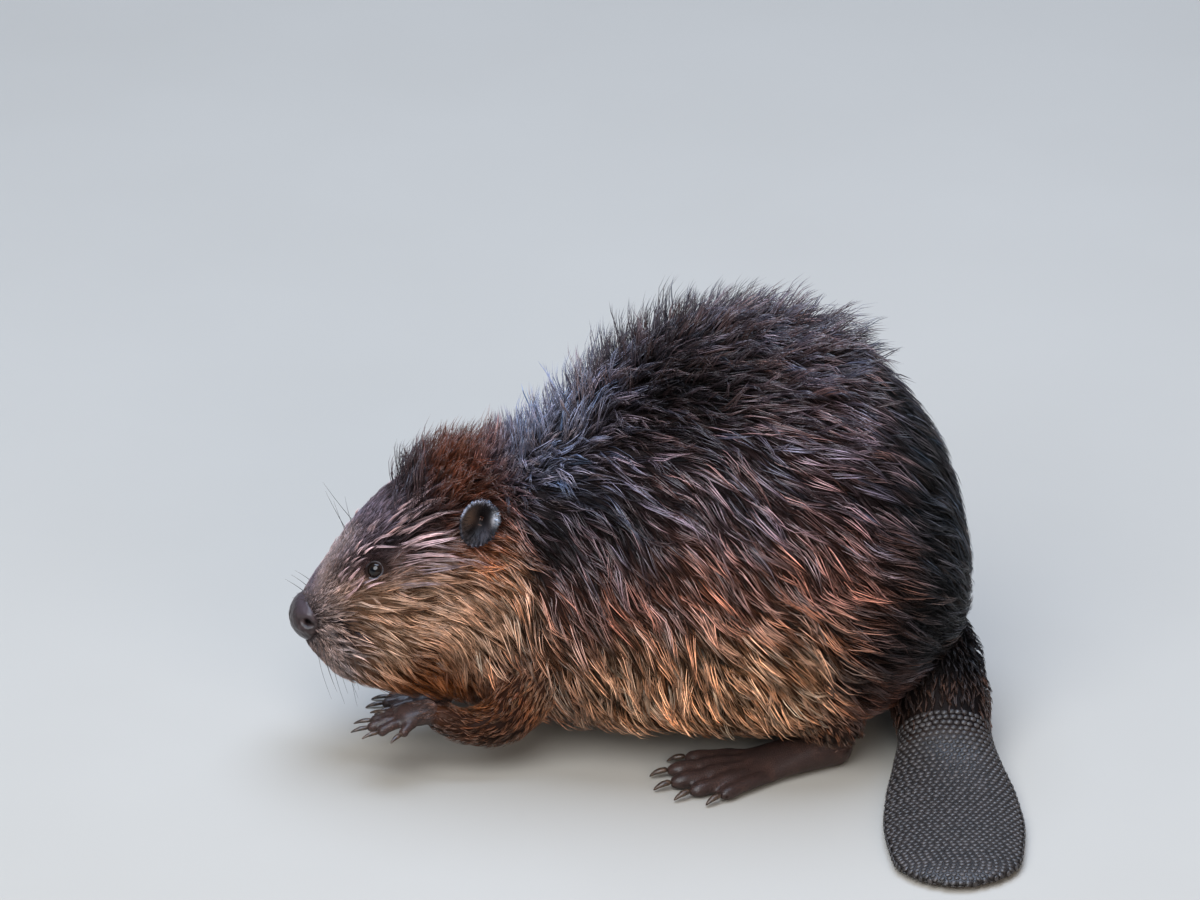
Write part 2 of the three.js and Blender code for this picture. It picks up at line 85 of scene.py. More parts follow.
EYE_STATION, EYE_ANGLE, EYE_RADIUS, EYE_DEPTH = 5.56, 57, 8, 8.5
EAR_STATION, EAR_ANGLE, EAR_OUT = 8.96, 50.5, 9
EAR_WIDTH, EAR_HEIGHT, EAR_BOWL, EAR_THICK, EAR_HOLE = 31, 39, 6.5, 3.4, 6
EAR_FACING, EAR_LEAN = (-0.3, 0.88, 0.36), 10
EAR_HALF, EAR_ROLL = 0.48, 0.07  # outline and rim as shares of the width and height
EAR_DRAWN, EAR_DRAWN_AT = 0.13, -128  # share drawn in at the lower front, and that place's angle
EAR_HOLE_REACH, EAR_HOLE_SHIFT = 0.42, (0.04, 0.08)  # its spread, and its way forward and up
EAR_CLEAR = (0.44, -9)  # share of the outline and depth within which no hair of the body comes
NOSE_CENTRE, NOSE_RADII = (-251, 0, 112), (20.5, 24.5, 20)

# Forepaws: wrist, turn about Z, and how much the digits bend down
FOREPAWS = {"left": ((-168, -67, 55), 2, 10), "right": ((-142, 57, 8), -4, 2)}
PALM = [(6, 0, 0, 11, 9), (-8, 0, -0.5, 13, 8.5), (-20, 0, -2, 15, 7.5), (-30, 0, -4, 12, 5)]
FORE_DIGITS = [  # root x and y, angle, length, radius
    (-16, -12, 42, 15, 4), (-25, -9, 14, 20, 4.3), (-28, -2, 3, 23, 4.4), (-26, 5, -9, 21, 4.3),
    (-20, 10, -32, 16, 4),
]
FORE_BASE = -4.8
FORE_CLAW = (13, 2.2, 3)  # length, radius, drop
HEEL, FOOT_TURN = (150, 86, 0), 11
SOLE = [(10, 0, 16, 16, 17), (-14, 0, 15, 18, 16), (-44, 0, 11, 22, 12), (-78, 0, 6, 27, 7),
        (-96, -1, 4, 22, 5)]
HIND_DIGITS = [(-64, -20, 20, 52, 6), (-72, -12, 11, 62, 6.8), (-76, -2, 2, 66, 7.4),
               (-74, 8, -8, 64, 7.2), (-66, 17, -19, 54, 6.4)]
HIND_BASE = 6
HIND_CLAW = (13, 3, 4.5)
WEB_RISE, WEB_THICK, WEB_SHORT = 3.5, 4, 0.9
WEB_START, WEB_SCALLOP = (-52.0, 18), 9  # x and half width where it leaves the sole; edge drawn in
CLAW_GAP = 0.35
DIGIT_STEPS = [  # share of the digit's length, rise, size
    (-0.25, 0, 1), (0.2, 1.9, 0.93), (0.38, 2.0, 1.0), (0.58, 1.3, 0.9), (0.78, 0.5, 1.02),
    (1, -0.4, 0.92),
]

SIDES = {"left": -1, "right": 1}

# Coat tables: one row for each station listed, one column for each of these degrees from the back
COAT_ANGLES = (0, 30, 60, 90, 120, 150, 180)
COAT_STATIONS = (0, 3, 4, 5, 6, 7, 8, 9, 10, 12, 14, 16, 18, 20, 22)
COAT_LEAN = [  # degrees that the hair turns down from straight back
    (0, 0, 0, 0, 0, 0, 0), (0, 0, 5, 24, 44, 34, 0), (0, -2, 2, 22, 42, 32, 0),
    (0, -4, 0, 20, 40, 32, 0), (0, -6, 0, 22, 44, 36, 0), (0, -8, 0, 24, 46, 38, 0),
    (0, -8, 4, 32, 52, 40, 0), (0, 0, 20, 50, 58, 42, 0), (0, 14, 48, 66, 66, 46, 0),
    (0, 22, 58, 70, 72, 50, 0), (0, 12, 38, 55, 68, 50, 0), (0, 6, 20, 32, 46, 40, 0),
    (0, 4, 8, 12, 20, 25, 0), (0, 4, 6, 6, 10, 10, 0), (0, 0, 0, 0, 0, 0, 0),
]
COAT_LENGTH = [
    (3, 3, 3, 3, 3, 3, 3), (4, 4, 5, 8, 9, 8, 6), (5, 6, 11, 16, 16, 13, 9),
    (6, 8, 18, 25, 24, 19, 12), (7, 12, 26, 28, 27, 22, 13), (9, 17, 30, 30, 28, 23, 15),
    (12, 20, 30, 30, 30, 24, 17), (16, 22, 27, 28, 30, 24, 18), (20, 24, 27, 28, 28, 24, 18),
    (25, 28, 31, 32, 30, 25, 19), (28, 31, 33, 34, 32, 25, 19), (28, 32, 33, 34, 31, 25, 19),
    (28, 31, 31, 30, 29, 25, 19), (26, 28, 28, 27, 25, 21, 18), (16, 16, 16, 16, 16, 14, 12),
]
COAT_DEPTH = [  # how far the skin lies under the coat's outer form
    (0.6, 0.6, 0.6, 0.6, 0.6, 0.6, 0.6), (1.0, 1.0, 1.2, 1.6, 1.9, 1.9, 1.9),
    (1.3, 1.4, 2.0, 2.8, 3.0, 2.8, 2.6), (1.6, 1.8, 3.0, 3.8, 4.0, 3.6, 3.4),
    (2.0, 2.6, 3.8, 4.6, 4.8, 4.4, 4), (2.6, 3.4, 4.6, 5.6, 5.8, 5, 4.6),
    (3.6, 4.4, 5.4, 6.5, 7, 6, 5), (5, 5.5, 6.5, 7.5, 8, 7, 5.5), (6.5, 7, 7.5, 8.5, 9, 8, 6),
    (8, 9, 9, 9.5, 9.5, 8, 6), (9, 9.5, 9.5, 10, 10, 8, 6), (9, 9.5, 9.5, 10, 10, 8, 6),
    (9, 9.5, 9.5, 9.5, 9, 8, 6), (8, 8.5, 8.5, 8.5, 8, 7, 6), (5, 5, 5, 5, 5, 5, 5),
]

# ---- small helpers -------------------------------------------------------------------------------


def unit(v):
    """Vectors divided by their own length."""
    return v / np.maximum(np.linalg.norm(v, axis=-1, keepdims=True), 1e-9)


def far(v):
    """Lengths of vectors."""
    return np.linalg.norm(v, axis=-1)


def dot(a, b):
    """Sum of the products of the last axis, kept as an axis of one."""
    return (a * b).sum(-1, keepdims=True)


def ease(x, low, high):
    """0 below low, 1 above high, and 3w^2 - 2w^3 between them for the share w of the way."""
    w = np.clip((x - low) / (high - low), 0, 1)
    return w * w * (3 - 2 * w)


def circle(count):
    """Angles once round in radians."""
    return 2 * np.pi * np.arange(count) / count


def fade(x, low, high):
    """1 below low, 0 above high: what ease() leaves over."""
    return 1 - ease(x, low, high)


def bell(*steps):
    """Bell curve of one or more steps from its middle: e to the power of minus their squares."""
    return np.exp(-sum(step**2 for step in steps))


def smooth_path(points):
    """Centripetal Catmull-Rom curve through points, read by t from 0 to 1 with equal steps between
    the points: a cubic whose slope at each point weighs its neighbours by root distance."""
    p = np.asarray(points, float)
    p = np.vstack([2 * p[0] - p[1], p, 2 * p[-1] - p[-2]])
    gap = np.sqrt(np.maximum(far(np.diff(p, axis=0)), 1e-8))[:, None]
    spans = len(points) - 1

    def read(t):
        x = np.clip(np.asarray(t, float), 0, 1) * spans
        i = np.minimum(x.astype(int), spans - 1)
        w = (x - i)[..., None]
        a, b, c, d = p[i], p[i + 1], p[i + 2], p[i + 3]
        g0, g1, g2 = gap[i], gap[i + 1], gap[i + 2]
        m0 = ((b - a) / g0 - (c - a) / (g0 + g1) + (c - b) / g1) * g1
        m1 = ((c - b) / g1 - (d - b) / (g1 + g2) + (d - c) / g2) * g1
        return (b + w * m0 + w**2 * (-3 * b + 3 * c - 2 * m0 - m1)
                + w**3 * (2 * b - 2 * c + m0 + m1))

    return read


def waves(p, size, seed, count=7):
    """Smooth noise near -1 to 1: the mean of sines along random directions whose wavelengths are
    about the given size, scaled up by the root of their count."""
    rng = np.random.default_rng(seed)
    total = 0
    for _ in range(count):
        direction = unit(rng.normal(size=3)) * 2 * np.pi / (size * rng.uniform(0.7, 1.5))
        total = total + np.sin(p @ direction + rng.uniform(0, 2 * np.pi))
    return total / np.sqrt(count)


# ---- forms: the surfaces under the coat ----------------------------------------------------------

body_top, body_under, body_form = (smooth_path(BODY_STATIONS[:, columns])
                                   for columns in ([0, 1], [2, 3], [4, 5, 6]))


def body_point(t, turn):
    """Point of the body: an egg-shaped ring between the top line and the under line, whose lower
    half is squared by its fullness, pushed out by the swellings. turn runs round in radians from
    the back over the left side."""
    top, under, form = body_top(t), body_under(t), body_form(t)
    rise, spread = np.cos(turn), np.sin(turn)
    power = np.where(rise < 0, 2 / form[..., 2], 1)
    rise = np.sign(rise) * np.abs(rise) ** power
    spread = np.sign(spread) * np.abs(spread) ** power * (1 - form[..., 1] * rise)
    middle, up = (top + under) / 2, (top - under) / 2
    p = np.stack([middle[..., 0] + up[..., 0] * rise, -form[..., 0] * spread,
                  middle[..., 1] + up[..., 1] * rise], -1)
    centre = np.stack([middle[..., 0], 0 * rise, middle[..., 1]], -1)
    push = 0
    for at, reach, height in SWELLINGS:
        one_side = np.stack([p[..., 0], np.abs(p[..., 1]), p[..., 2]], -1)
        push = push + height * np.exp(-(((one_side - at) / reach) ** 2).sum(-1))
    return p + unit(p - centre) * push[..., None]


def body_spot(station, angle):
    """Place and outward direction on the body at a station and an angle in degrees."""
    t, turn, step = station / LAST_STATION, np.radians(angle), 1e-3
    point = body_point(np.array(t), np.array(turn))
    along = body_point(np.array(t + step), np.array(turn)) - point
    across = body_point(np.array(t), np.array(turn + step)) - point
    return point, unit(np.cross(across, along))


def mirrored(p, side):
    """A place or direction of the left side (side -1) carried to the side asked for."""
    return np.asarray(p, float) * [1, -side, 1]


EAR_POINT, EAR_ROOT_OUT = body_spot(EAR_STATION, EAR_ANGLE)
EYE_POINT, EYE_OUT = body_spot(EYE_STATION, EYE_ANGLE)
EYE_CENTRE = EYE_POINT - EYE_OUT * EYE_DEPTH
SHIFT = ((np.array(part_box("eye_left")) * 1000).mean(0) - EYE_CENTRE) * [1, 1, 0]


def placed(p):
    """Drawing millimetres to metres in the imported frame."""
    return (np.asarray(p, float) + SHIFT) / 1000


class Form:
    """A closed surface on a grid: rows run along it and columns run round it. outer is the coat's
    outer form, base is the skin at a depth under it, and ends are its two poles."""

    def __init__(self, outer, ends, depth=0.0):
        self.rows, self.columns = outer.shape[:2]
        self.outer, self.ends = outer, ends
        self.normal = self._normals(outer)
        self.depth = np.broadcast_to(depth, outer.shape[:2]).copy()
        self.base = outer - self.normal * self.depth[..., None]
        self.down_rows = np.gradient(self.base, axis=0)
        self.round_columns = self._round(self.base)

    @staticmethod
    def _round(p):
        return (np.roll(p, -1, 1) - np.roll(p, 1, 1)) / 2

    def _normals(self, p):
        """Cross product of the differences along rows and columns, turned outward."""
        n = unit(np.cross(self._round(p), np.gradient(p, axis=0)))
        return n * np.sign((n * (p - p.mean(1, keepdims=True))).sum())

    def read(self, field, row, column):
        """A grid field between its points: rows stop at the ends, columns go round."""
        row = np.clip(row, 0, self.rows - 1.001)
        i, j = row.astype(int), np.floor(column).astype(int)
        u, v = row - i, column - j
        if field.ndim == 3:
            u, v = u[..., None], v[..., None]
        j0, j1 = j % self.columns, (j + 1) % self.columns
        return ((field[i, j0] * (1 - v) + field[i, j1] * v) * (1 - u)
                + (field[i + 1, j0] * (1 - v) + field[i + 1, j1] * v) * u)

    def steps(self, row, column, move):
        """Row and column steps of a small move in the surface: the move's parts along the row and
        column differences, solved by their two-by-two matrix of products."""
        r, c = self.read(self.down_rows, row, column), self.read(self.round_columns, row, column)
        rr, rc, cc = (r * r).sum(-1), (r * c).sum(-1), (c * c).sum(-1)
        mr, mc = (move * r).sum(-1), (move * c).sum(-1)
        det = np.maximum(rr * cc - rc**2, 1e-6)
        most = self.columns / 8
        return (mr * cc - mc * rc) / det, np.clip((mc * rr - mr * rc) / det, -most, most)

    def directions(self, row, column):
        """Outward, along the rows within the surface, and across both."""
        n, back = self.read(self.normal, row, column), self.read(self.down_rows, row, column)
        back = unit(back - n * dot(back, n))
        return n, back, np.cross(n, back)

    def scatter(self, count, weight, rng):
        """Places spread evenly over the surface by weight times area: a low-discrepancy sequence is
        sent through the running sums of the rows, and of the columns inside each row."""
        area = far(np.cross(self.down_rows, self.round_columns)) * weight
        area = (area[:-1] + area[1:]) / 2 + 1e-9
        k = np.arange(count)
        first = (rng.uniform() + k * 0.7548776662466927) % 1
        second = (rng.uniform() + k * 0.5698402909980532) % 1
        by_row = np.concatenate([[0], np.cumsum(area.sum(1))])
        row = np.interp(first * by_row[-1], by_row, np.arange(len(by_row)))
        i = np.minimum(row.astype(int), len(area) - 1)
        sums = np.cumsum(area, 1) / area.sum(1, keepdims=True)
        sums = np.concatenate([np.zeros((len(area), 1)), sums], 1)
        flat = (sums + np.arange(len(area))[:, None] * 2).ravel()
        place = np.clip(np.searchsorted(flat, second + i * 2) - 1, 0, len(flat) - 2)
        share = (second + i * 2 - flat[place]) / np.maximum(flat[place + 1] - flat[place], 1e-12)
        return row, place % (self.columns + 1) + np.clip(share, 0, 1)

    def by_row(self, values):
        """One value for each row, carried round the whole grid."""
        return values[:, None] + np.zeros((1, self.columns))

    def shell(self):
        """Vertices and triangles of the skin, its ends drawn to their poles."""
        return tube(self.base, *self.ends)


def row_faces(i):
    """Two triangles for each cell between the rows of a grid of corner numbers, going round."""
    j = np.roll(i, -1, 1)
    a, b, c, d = i[:-1].ravel(), j[:-1].ravel(), j[1:].ravel(), i[1:].ravel()
    return np.vstack([np.stack([a, b, c], 1), np.stack([a, c, d], 1)])


def tube(grid, start, end):
    """Closed mesh of a grid whose columns go round, with a pole at each end."""
    rows, columns = grid.shape[:2]
    i = np.arange(rows * columns).reshape(rows, columns)
    j = np.roll(i, -1, 1)
    first, last = np.full(columns, i.size), np.full(columns, i.size + 1)
    faces = np.vstack([row_faces(i), np.stack([first, j[0], i[0]], 1),
                       np.stack([last, i[-1], j[-1]], 1)])
    return outward(np.vstack([grid.reshape(-1, 3), start, end]), faces)


def outward(verts, faces):
    """The same mesh with its triangles turned so that its signed volume is positive."""
    a, b, c = (verts[faces[:, k]] for k in range(3))
    if (a * np.cross(b, c)).sum() < 0:
        faces = faces[:, ::-1]
    return verts, faces


def copies(faces, count, corners):
    """Triangles of one small mesh, repeated for a count of copies that follow one another."""
    return (faces[None] + (np.arange(count) * corners)[:, None, None]).reshape(-1, 3)


def joined(meshes):
    """Several meshes as one list of vertices and triangles."""
    verts, faces, count = [], [], 0
    for v, f in meshes:
        verts.append(v)
        faces.append(f + count)
        count += len(v)
    return np.vstack(verts), np.vstack(faces)


def limb_form(points, rows=60, columns=48, blunt=0.12, upright=(0, 0, 1), depth=0.0):
    """A limb: an oval section carried along a smooth path, with across and up half sizes from the
    points, both ends rounded as a quarter circle over the first and last share of the path."""
    points = np.asarray(points, float)
    path, sizes = smooth_path(points[:, :3]), smooth_path(points[:, 3:])
    t = (1 - np.cos(np.pi * (np.arange(rows) + 0.6) / (rows + 0.2))) / 2
    centre = path(t)
    along = unit(path(np.minimum(t + 1e-3, 1)) - path(np.maximum(t - 1e-3, 0)))
    across = unit(np.cross(np.asarray(upright, float), along))
    up = np.cross(along, across)
    from_end = np.minimum(1, np.minimum(t, 1 - t) / blunt)
    taper = np.sqrt(1 - (1 - from_end) ** 2)[:, None]
    size = sizes(t) * taper
    turn = circle(columns)
    grid = (centre[:, None] + across[:, None] * (size[:, :1] * np.cos(turn))[..., None]
            + up[:, None] * (size[:, 1:] * np.sin(turn))[..., None])
    return Form(grid, (path(0.0), path(1.0)), depth)


BODY_ROWS, BODY_COLUMNS = 300, 200
ROW_STATIONS = np.linspace(0, LAST_STATION, BODY_ROWS)
FROM_BACK = np.abs((np.arange(BODY_COLUMNS) * 360 / BODY_COLUMNS + 180) % 360 - 180)


def body_field(table):
    """A coat table as a grid field of the body: linear between its stations and angles, the same
    on both sides."""
    by_station = np.stack([np.interp(ROW_STATIONS, COAT_STATIONS, column)
                           for column in np.array(table, float).T], 1)
    return np.stack([np.interp(FROM_BACK, COAT_ANGLES, row) for row in by_station])


def make_body():
    """The body's form, its poles midway between the top line and the under line."""
    t, turn = np.meshgrid(np.linspace(0, 1, BODY_ROWS), circle(BODY_COLUMNS), indexing="ij")
    poles = [np.array([x, 0, (body_top(end)[1] + body_under(end)[1]) / 2])
             for end, x in zip((0.0, 1.0), BODY_POLES)]
    return Form(body_point(t, turn), poles, body_field(COAT_DEPTH))


body = make_body()
ear_up = np.array([np.sin(np.radians(EAR_LEAN)), 0, np.cos(np.radians(EAR_LEAN))])


def ear_form(side):
    """The ear: a cup turned about its facing direction, stretched to its width and height and
    drawn in at the lower front, whose rim is rolled over. Rows run from the middle of its back
    over the rim into a hollow that deepens to a hole set forward and up. Gives the form with its
    centre and its forward and up directions."""
    centre = mirrored(EAR_POINT + EAR_ROOT_OUT * EAR_OUT, side)
    facing = unit(mirrored(EAR_FACING, -side))
    forward = unit(np.cross(facing, ear_up)) * -side
    up = unit(np.cross(forward, facing)) * side
    up = up * np.sign(up[2])
    share = np.linspace(0.04, 1, 22)
    roll = np.linspace(0, np.pi, 9)[1:-1]
    thick = EAR_THICK * (1 - 0.25 * share**2)
    bowl = -EAR_BOWL * (1 - share**2)
    hole = bowl - EAR_HOLE * bell(share / EAR_HOLE_REACH)
    edge = thick[-1] / 2
    radius = np.concatenate([share, 1 + EAR_ROLL * np.sin(roll), share[::-1]])[:, None]
    height = np.concatenate([bowl - thick - EAR_HOLE * (1 - share), -edge - edge * np.cos(roll),
                             hole[::-1]])
    shift = np.concatenate([0 * share, 0 * roll, 1 - share[::-1]])[:, None]
    turn = circle(72)
    drawn = 1 - EAR_DRAWN * np.maximum(0, np.cos(turn - np.radians(EAR_DRAWN_AT))) ** 2
    a = (radius * np.cos(turn) * drawn * EAR_HALF + shift * EAR_HOLE_SHIFT[0]) * EAR_WIDTH
    b = (radius * np.sin(turn) * drawn * EAR_HALF + shift * EAR_HOLE_SHIFT[1]) * EAR_HEIGHT
    grid = centre + facing * height[:, None, None] + forward * a[..., None] + up * b[..., None]
    return Form(grid, (grid[0].mean(0), grid[-1].mean(0))), centre, forward, up


def ear_plane(p, word):
    """Places as shares of an ear's width and height, forward and up from its centre."""
    _, centre, forward, up = ears[word]
    return (p - centre) @ forward / EAR_WIDTH, (p - centre) @ up / EAR_HEIGHT


class Foot:
    """A foot drawn along -X from its own origin: a pad, digits that arch a little and come down to
    their tips, and claws that go on from the tips and curve down to a thin end. All of it is turned
    about Z and put at the foot's place."""

    def __init__(self, side, at, turn, pad, blunt, digits, rows, bend, base, claw):
        self.side, self.at, self.turn = side, np.array(at), turn
        self.digits, self.rows, self.bend, self.base, self.claw = digits, rows, bend, base, claw
        self.pad = self.limb(pad, blunt=blunt)

    def placed(self, p):
        """Points of the foot's own frame in the drawing frame."""
        a = np.radians(-self.side * self.turn)
        c, s = np.cos(a), np.sin(a)
        return mirrored(p, self.side) @ np.array([[c, s, 0], [-s, c, 0], [0, 0, 1]]) + self.at

    def limb(self, points, **sizes):
        """A limb drawn in the foot's own frame and put in place with it."""
        form = limb_form(points, **sizes)
        return Form(self.placed(form.outer), tuple(self.placed(end) for end in form.ends))

    def along(self, digit, steps, radius, flat):
        """Limb points on a digit's line; each step has its distance from the root, height, size."""
        x, y, angle = digit[:3]
        ax, ay = -np.cos(np.radians(angle)), -np.sin(np.radians(angle))
        return [(x + ax * far, y + ay * far, self.base + high, radius * size, radius * size * flat)
                for far, high, size in steps]

    def toes(self):
        """The digits' closed surfaces."""
        made = []
        for digit in self.digits:
            length, radius = digit[3:]
            drop = length * np.sin(np.radians(self.bend))
            steps = [(length * s, lift - drop * s, size) for s, lift, size in DIGIT_STEPS]
            made.append(self.limb(self.along(digit, steps, radius, 0.95), blunt=0.16,
                                  rows=self.rows, columns=24).shell())
        return made

    def nails(self):
        """The claws' closed surfaces."""
        reach, radius, fall = self.claw
        made = []
        for digit in self.digits:
            drop = digit[3] * np.sin(np.radians(self.bend))
            steps = [(digit[3] + far, 1 - drop - down, size) for far, down, size in (
                (CLAW_GAP - 2, -0.2, 0.9), (reach * 0.35, fall * 0.1, 0.95),
                (reach * 0.7, fall * 0.45, 0.65), (reach, fall, 0.3))]
            made.append(self.limb(self.along(digit, steps, radius, 0.8), blunt=0.16, rows=22,
                                  columns=16).shell())
        return made


def web_sheet(foot):
    """The web between the hind digits: straight lines from the sole to a front edge scalloped
    between the digits' tips, as a sheet with an upper and a lower face that thins to the edge."""
    tips = np.array([foot.along(digit, [(digit[3] * WEB_SHORT, 0, 1)], 1, 1)[0][:2]
                     for digit in foot.digits])
    across = np.linspace(0, 4, 65)
    low = np.minimum(across.astype(int), 3)
    w = (across - low)[:, None]
    between = 4 * w[:, 0] * (1 - w[:, 0])
    front = tips[low] * (1 - w) + tips[low + 1] * w
    front[:, 0] += WEB_SCALLOP * between**0.8
    root = np.stack([np.full(65, WEB_START[0]), np.linspace(-WEB_START[1], WEB_START[1], 65)], 1)
    down = np.linspace(0, 1, 40)[:, None]
    flat = root * (1 - down[..., None]) + front * down[..., None]
    sag = between * down
    thick = WEB_THICK * (1 - 0.45 * down)
    middle = WEB_RISE + WEB_THICK / 2 - 1.1 * sag + 0.25 * np.sin(down * 40) * sag
    upper = np.concatenate([flat, (middle + thick / 2)[..., None]], -1)
    lower = np.concatenate([flat, (middle - thick / 2)[..., None]], -1)
    grid = foot.placed(np.concatenate([upper, lower[:, ::-1]], 1))
    return tube(grid, grid[0].mean(0), grid[-1].mean(0))


paws = {word: Foot(side, *FOREPAWS[word][:2], PALM, 0.2, FORE_DIGITS, 40, FOREPAWS[word][2],
                   FORE_BASE, FORE_CLAW) for word, side in SIDES.items()}
feet = {word: Foot(side, np.array(HEEL) * [1, side, 1], FOOT_TURN, SOLE, 0.16, HIND_DIGITS, 50, 0,
                   HIND_BASE, HIND_CLAW) for word, side in SIDES.items()}
legs = {word: limb_form(FORELEGS[word], upright=(0, side, 0), blunt=0.1, depth=2.5)
        for word, side in SIDES.items()}
shanks = {word: limb_form([(x, side * y, z, a, u) for x, y, z, a, u in SHANK], blunt=0.3, depth=4)
          for word, side in SIDES.items()}
tail, tail_coat = (limb_form(TAIL, rows=TAIL_ROWS, columns=90, blunt=0.1, depth=depth[:, None])
                   for depth in (np.zeros(TAIL_ROWS), 4.5 * fade(
                       np.linspace(0, 1, TAIL_ROWS), 0.3, TAIL_BARE)))
ears = {word: ear_form(side) for word, side in SIDES.items()}

# ---- camera, light and floor ---------------------------------------------------------------------

VIEW_RIGHT = np.array((0.9912, -0.1323, 0))
VIEW_UP = np.array((0.0559, 0.4189, 0.9063))
VIEW_BACK = np.array((-0.1199, -0.8983, 0.4226))
VIEW_MIDDLE = (-26.7, 215.5, 90)  # along the three directions above
LENS, SENSOR, FRAME_WIDTH = 300, 36, 932.4


def add_object(name, data):
    """A new object in the scene."""
    added = bpy.data.objects.new(name, data)
    bpy.context.scene.collection.objects.link(added)
    return added


def make_camera():
    """The camera stands back along the viewing direction until the frame is as wide as it should
    be at the animal's middle."""
    data = bpy.data.cameras.new("camera")
    data.lens, data.sensor_width, data.clip_end = LENS, SENSOR, 100
    camera = add_object("camera", data)
    middle = sum(m * d for m, d in zip(VIEW_MIDDLE, (VIEW_RIGHT, VIEW_UP, VIEW_BACK)))
    away = FRAME_WIDTH / SENSOR * LENS
    turn = Matrix(np.stack([VIEW_RIGHT, VIEW_UP, VIEW_BACK], 1).tolist()).to_4x4()
    camera.matrix_world = Matrix.Translation(Vector(placed(middle + VIEW_BACK * away))) @ turn
    bpy.context.scene.camera = camera


def make_light(name, at, size, watts, colour, mirror=True):
    """A round soft light looking at the animal's middle, seen in glossy surfaces or not."""
    data = bpy.data.lights.new(name, "AREA")
    data.shape, data.size, data.energy, data.color = "DISK", size, watts, colour
    light = add_object(name, data)
    light.location, light.visible_glossy = at, mirror
    light.rotation_euler = (Vector((0, 0, 0.15)) - Vector(at)).to_track_quat("-Z", "Y").to_euler()


# ---- meshes and materials ------------------------------------------------------------------------


def make_piece(name, finish, verts, faces, replaced=(), slot=None, uv=None, **fields):
    """A smooth mesh object from drawing millimetres, riding on the animal's one body; fields are
    colours (three numbers) or single values for each vertex, and uv has a place for each corner."""
    mesh = bpy.data.meshes.new(name)
    mesh.vertices.add(len(verts))
    mesh.vertices.foreach_set("co", placed(verts).astype(np.float32).ravel())
    mesh.loops.add(faces.size)
    mesh.loops.foreach_set("vertex_index", faces.astype(np.int32).ravel())
    mesh.polygons.add(len(faces))
    mesh.polygons.foreach_set("loop_start", np.arange(0, faces.size, 3, dtype=np.int32))
    mesh.polygons.foreach_set("use_smooth", np.ones(len(faces), bool))
    for key, values in fields.items():
        colour = values.ndim == 2
        if colour:
            values = np.concatenate([values, np.ones((len(values), 1))], 1)
        layer = mesh.attributes.new(key, "FLOAT_COLOR" if colour else "FLOAT", "POINT")
        layer.data.foreach_set("color" if colour else "value",
                               values.astype(np.float32).ravel())
    if uv is not None:
        layer = mesh.uv_layers.new(name="OFBake")
        layer.uv.foreach_set("vector", uv.astype(np.float32).ravel())
    mesh.update(calc_edges=True)
    mesh.materials.append(materials[finish])
    piece = add_object(name, mesh)
    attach(piece, "root")
    if replaced:
        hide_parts(*replaced)


class Socket:
    """A node's output inside an expression: each operator adds a Math node."""

    def __init__(self, nodes, out):
        self.nodes, self.out = nodes, out

    def _math(self, operation, a, b):
        return self.nodes.make("ShaderNodeMath", {"operation": operation}, {0: a, 1: b})

    def __add__(self, other):
        return self._math("ADD", self, other)

    def __mul__(self, other):
        return self._math("MULTIPLY", self, other)

    def __sub__(self, other):
        return self._math("SUBTRACT", self, other)

    def __rsub__(self, other):
        return self._math("SUBTRACT", other, self)

    def __pow__(self, other):
        return self._math("POWER", self, other)

    __radd__, __rmul__ = __add__, __mul__


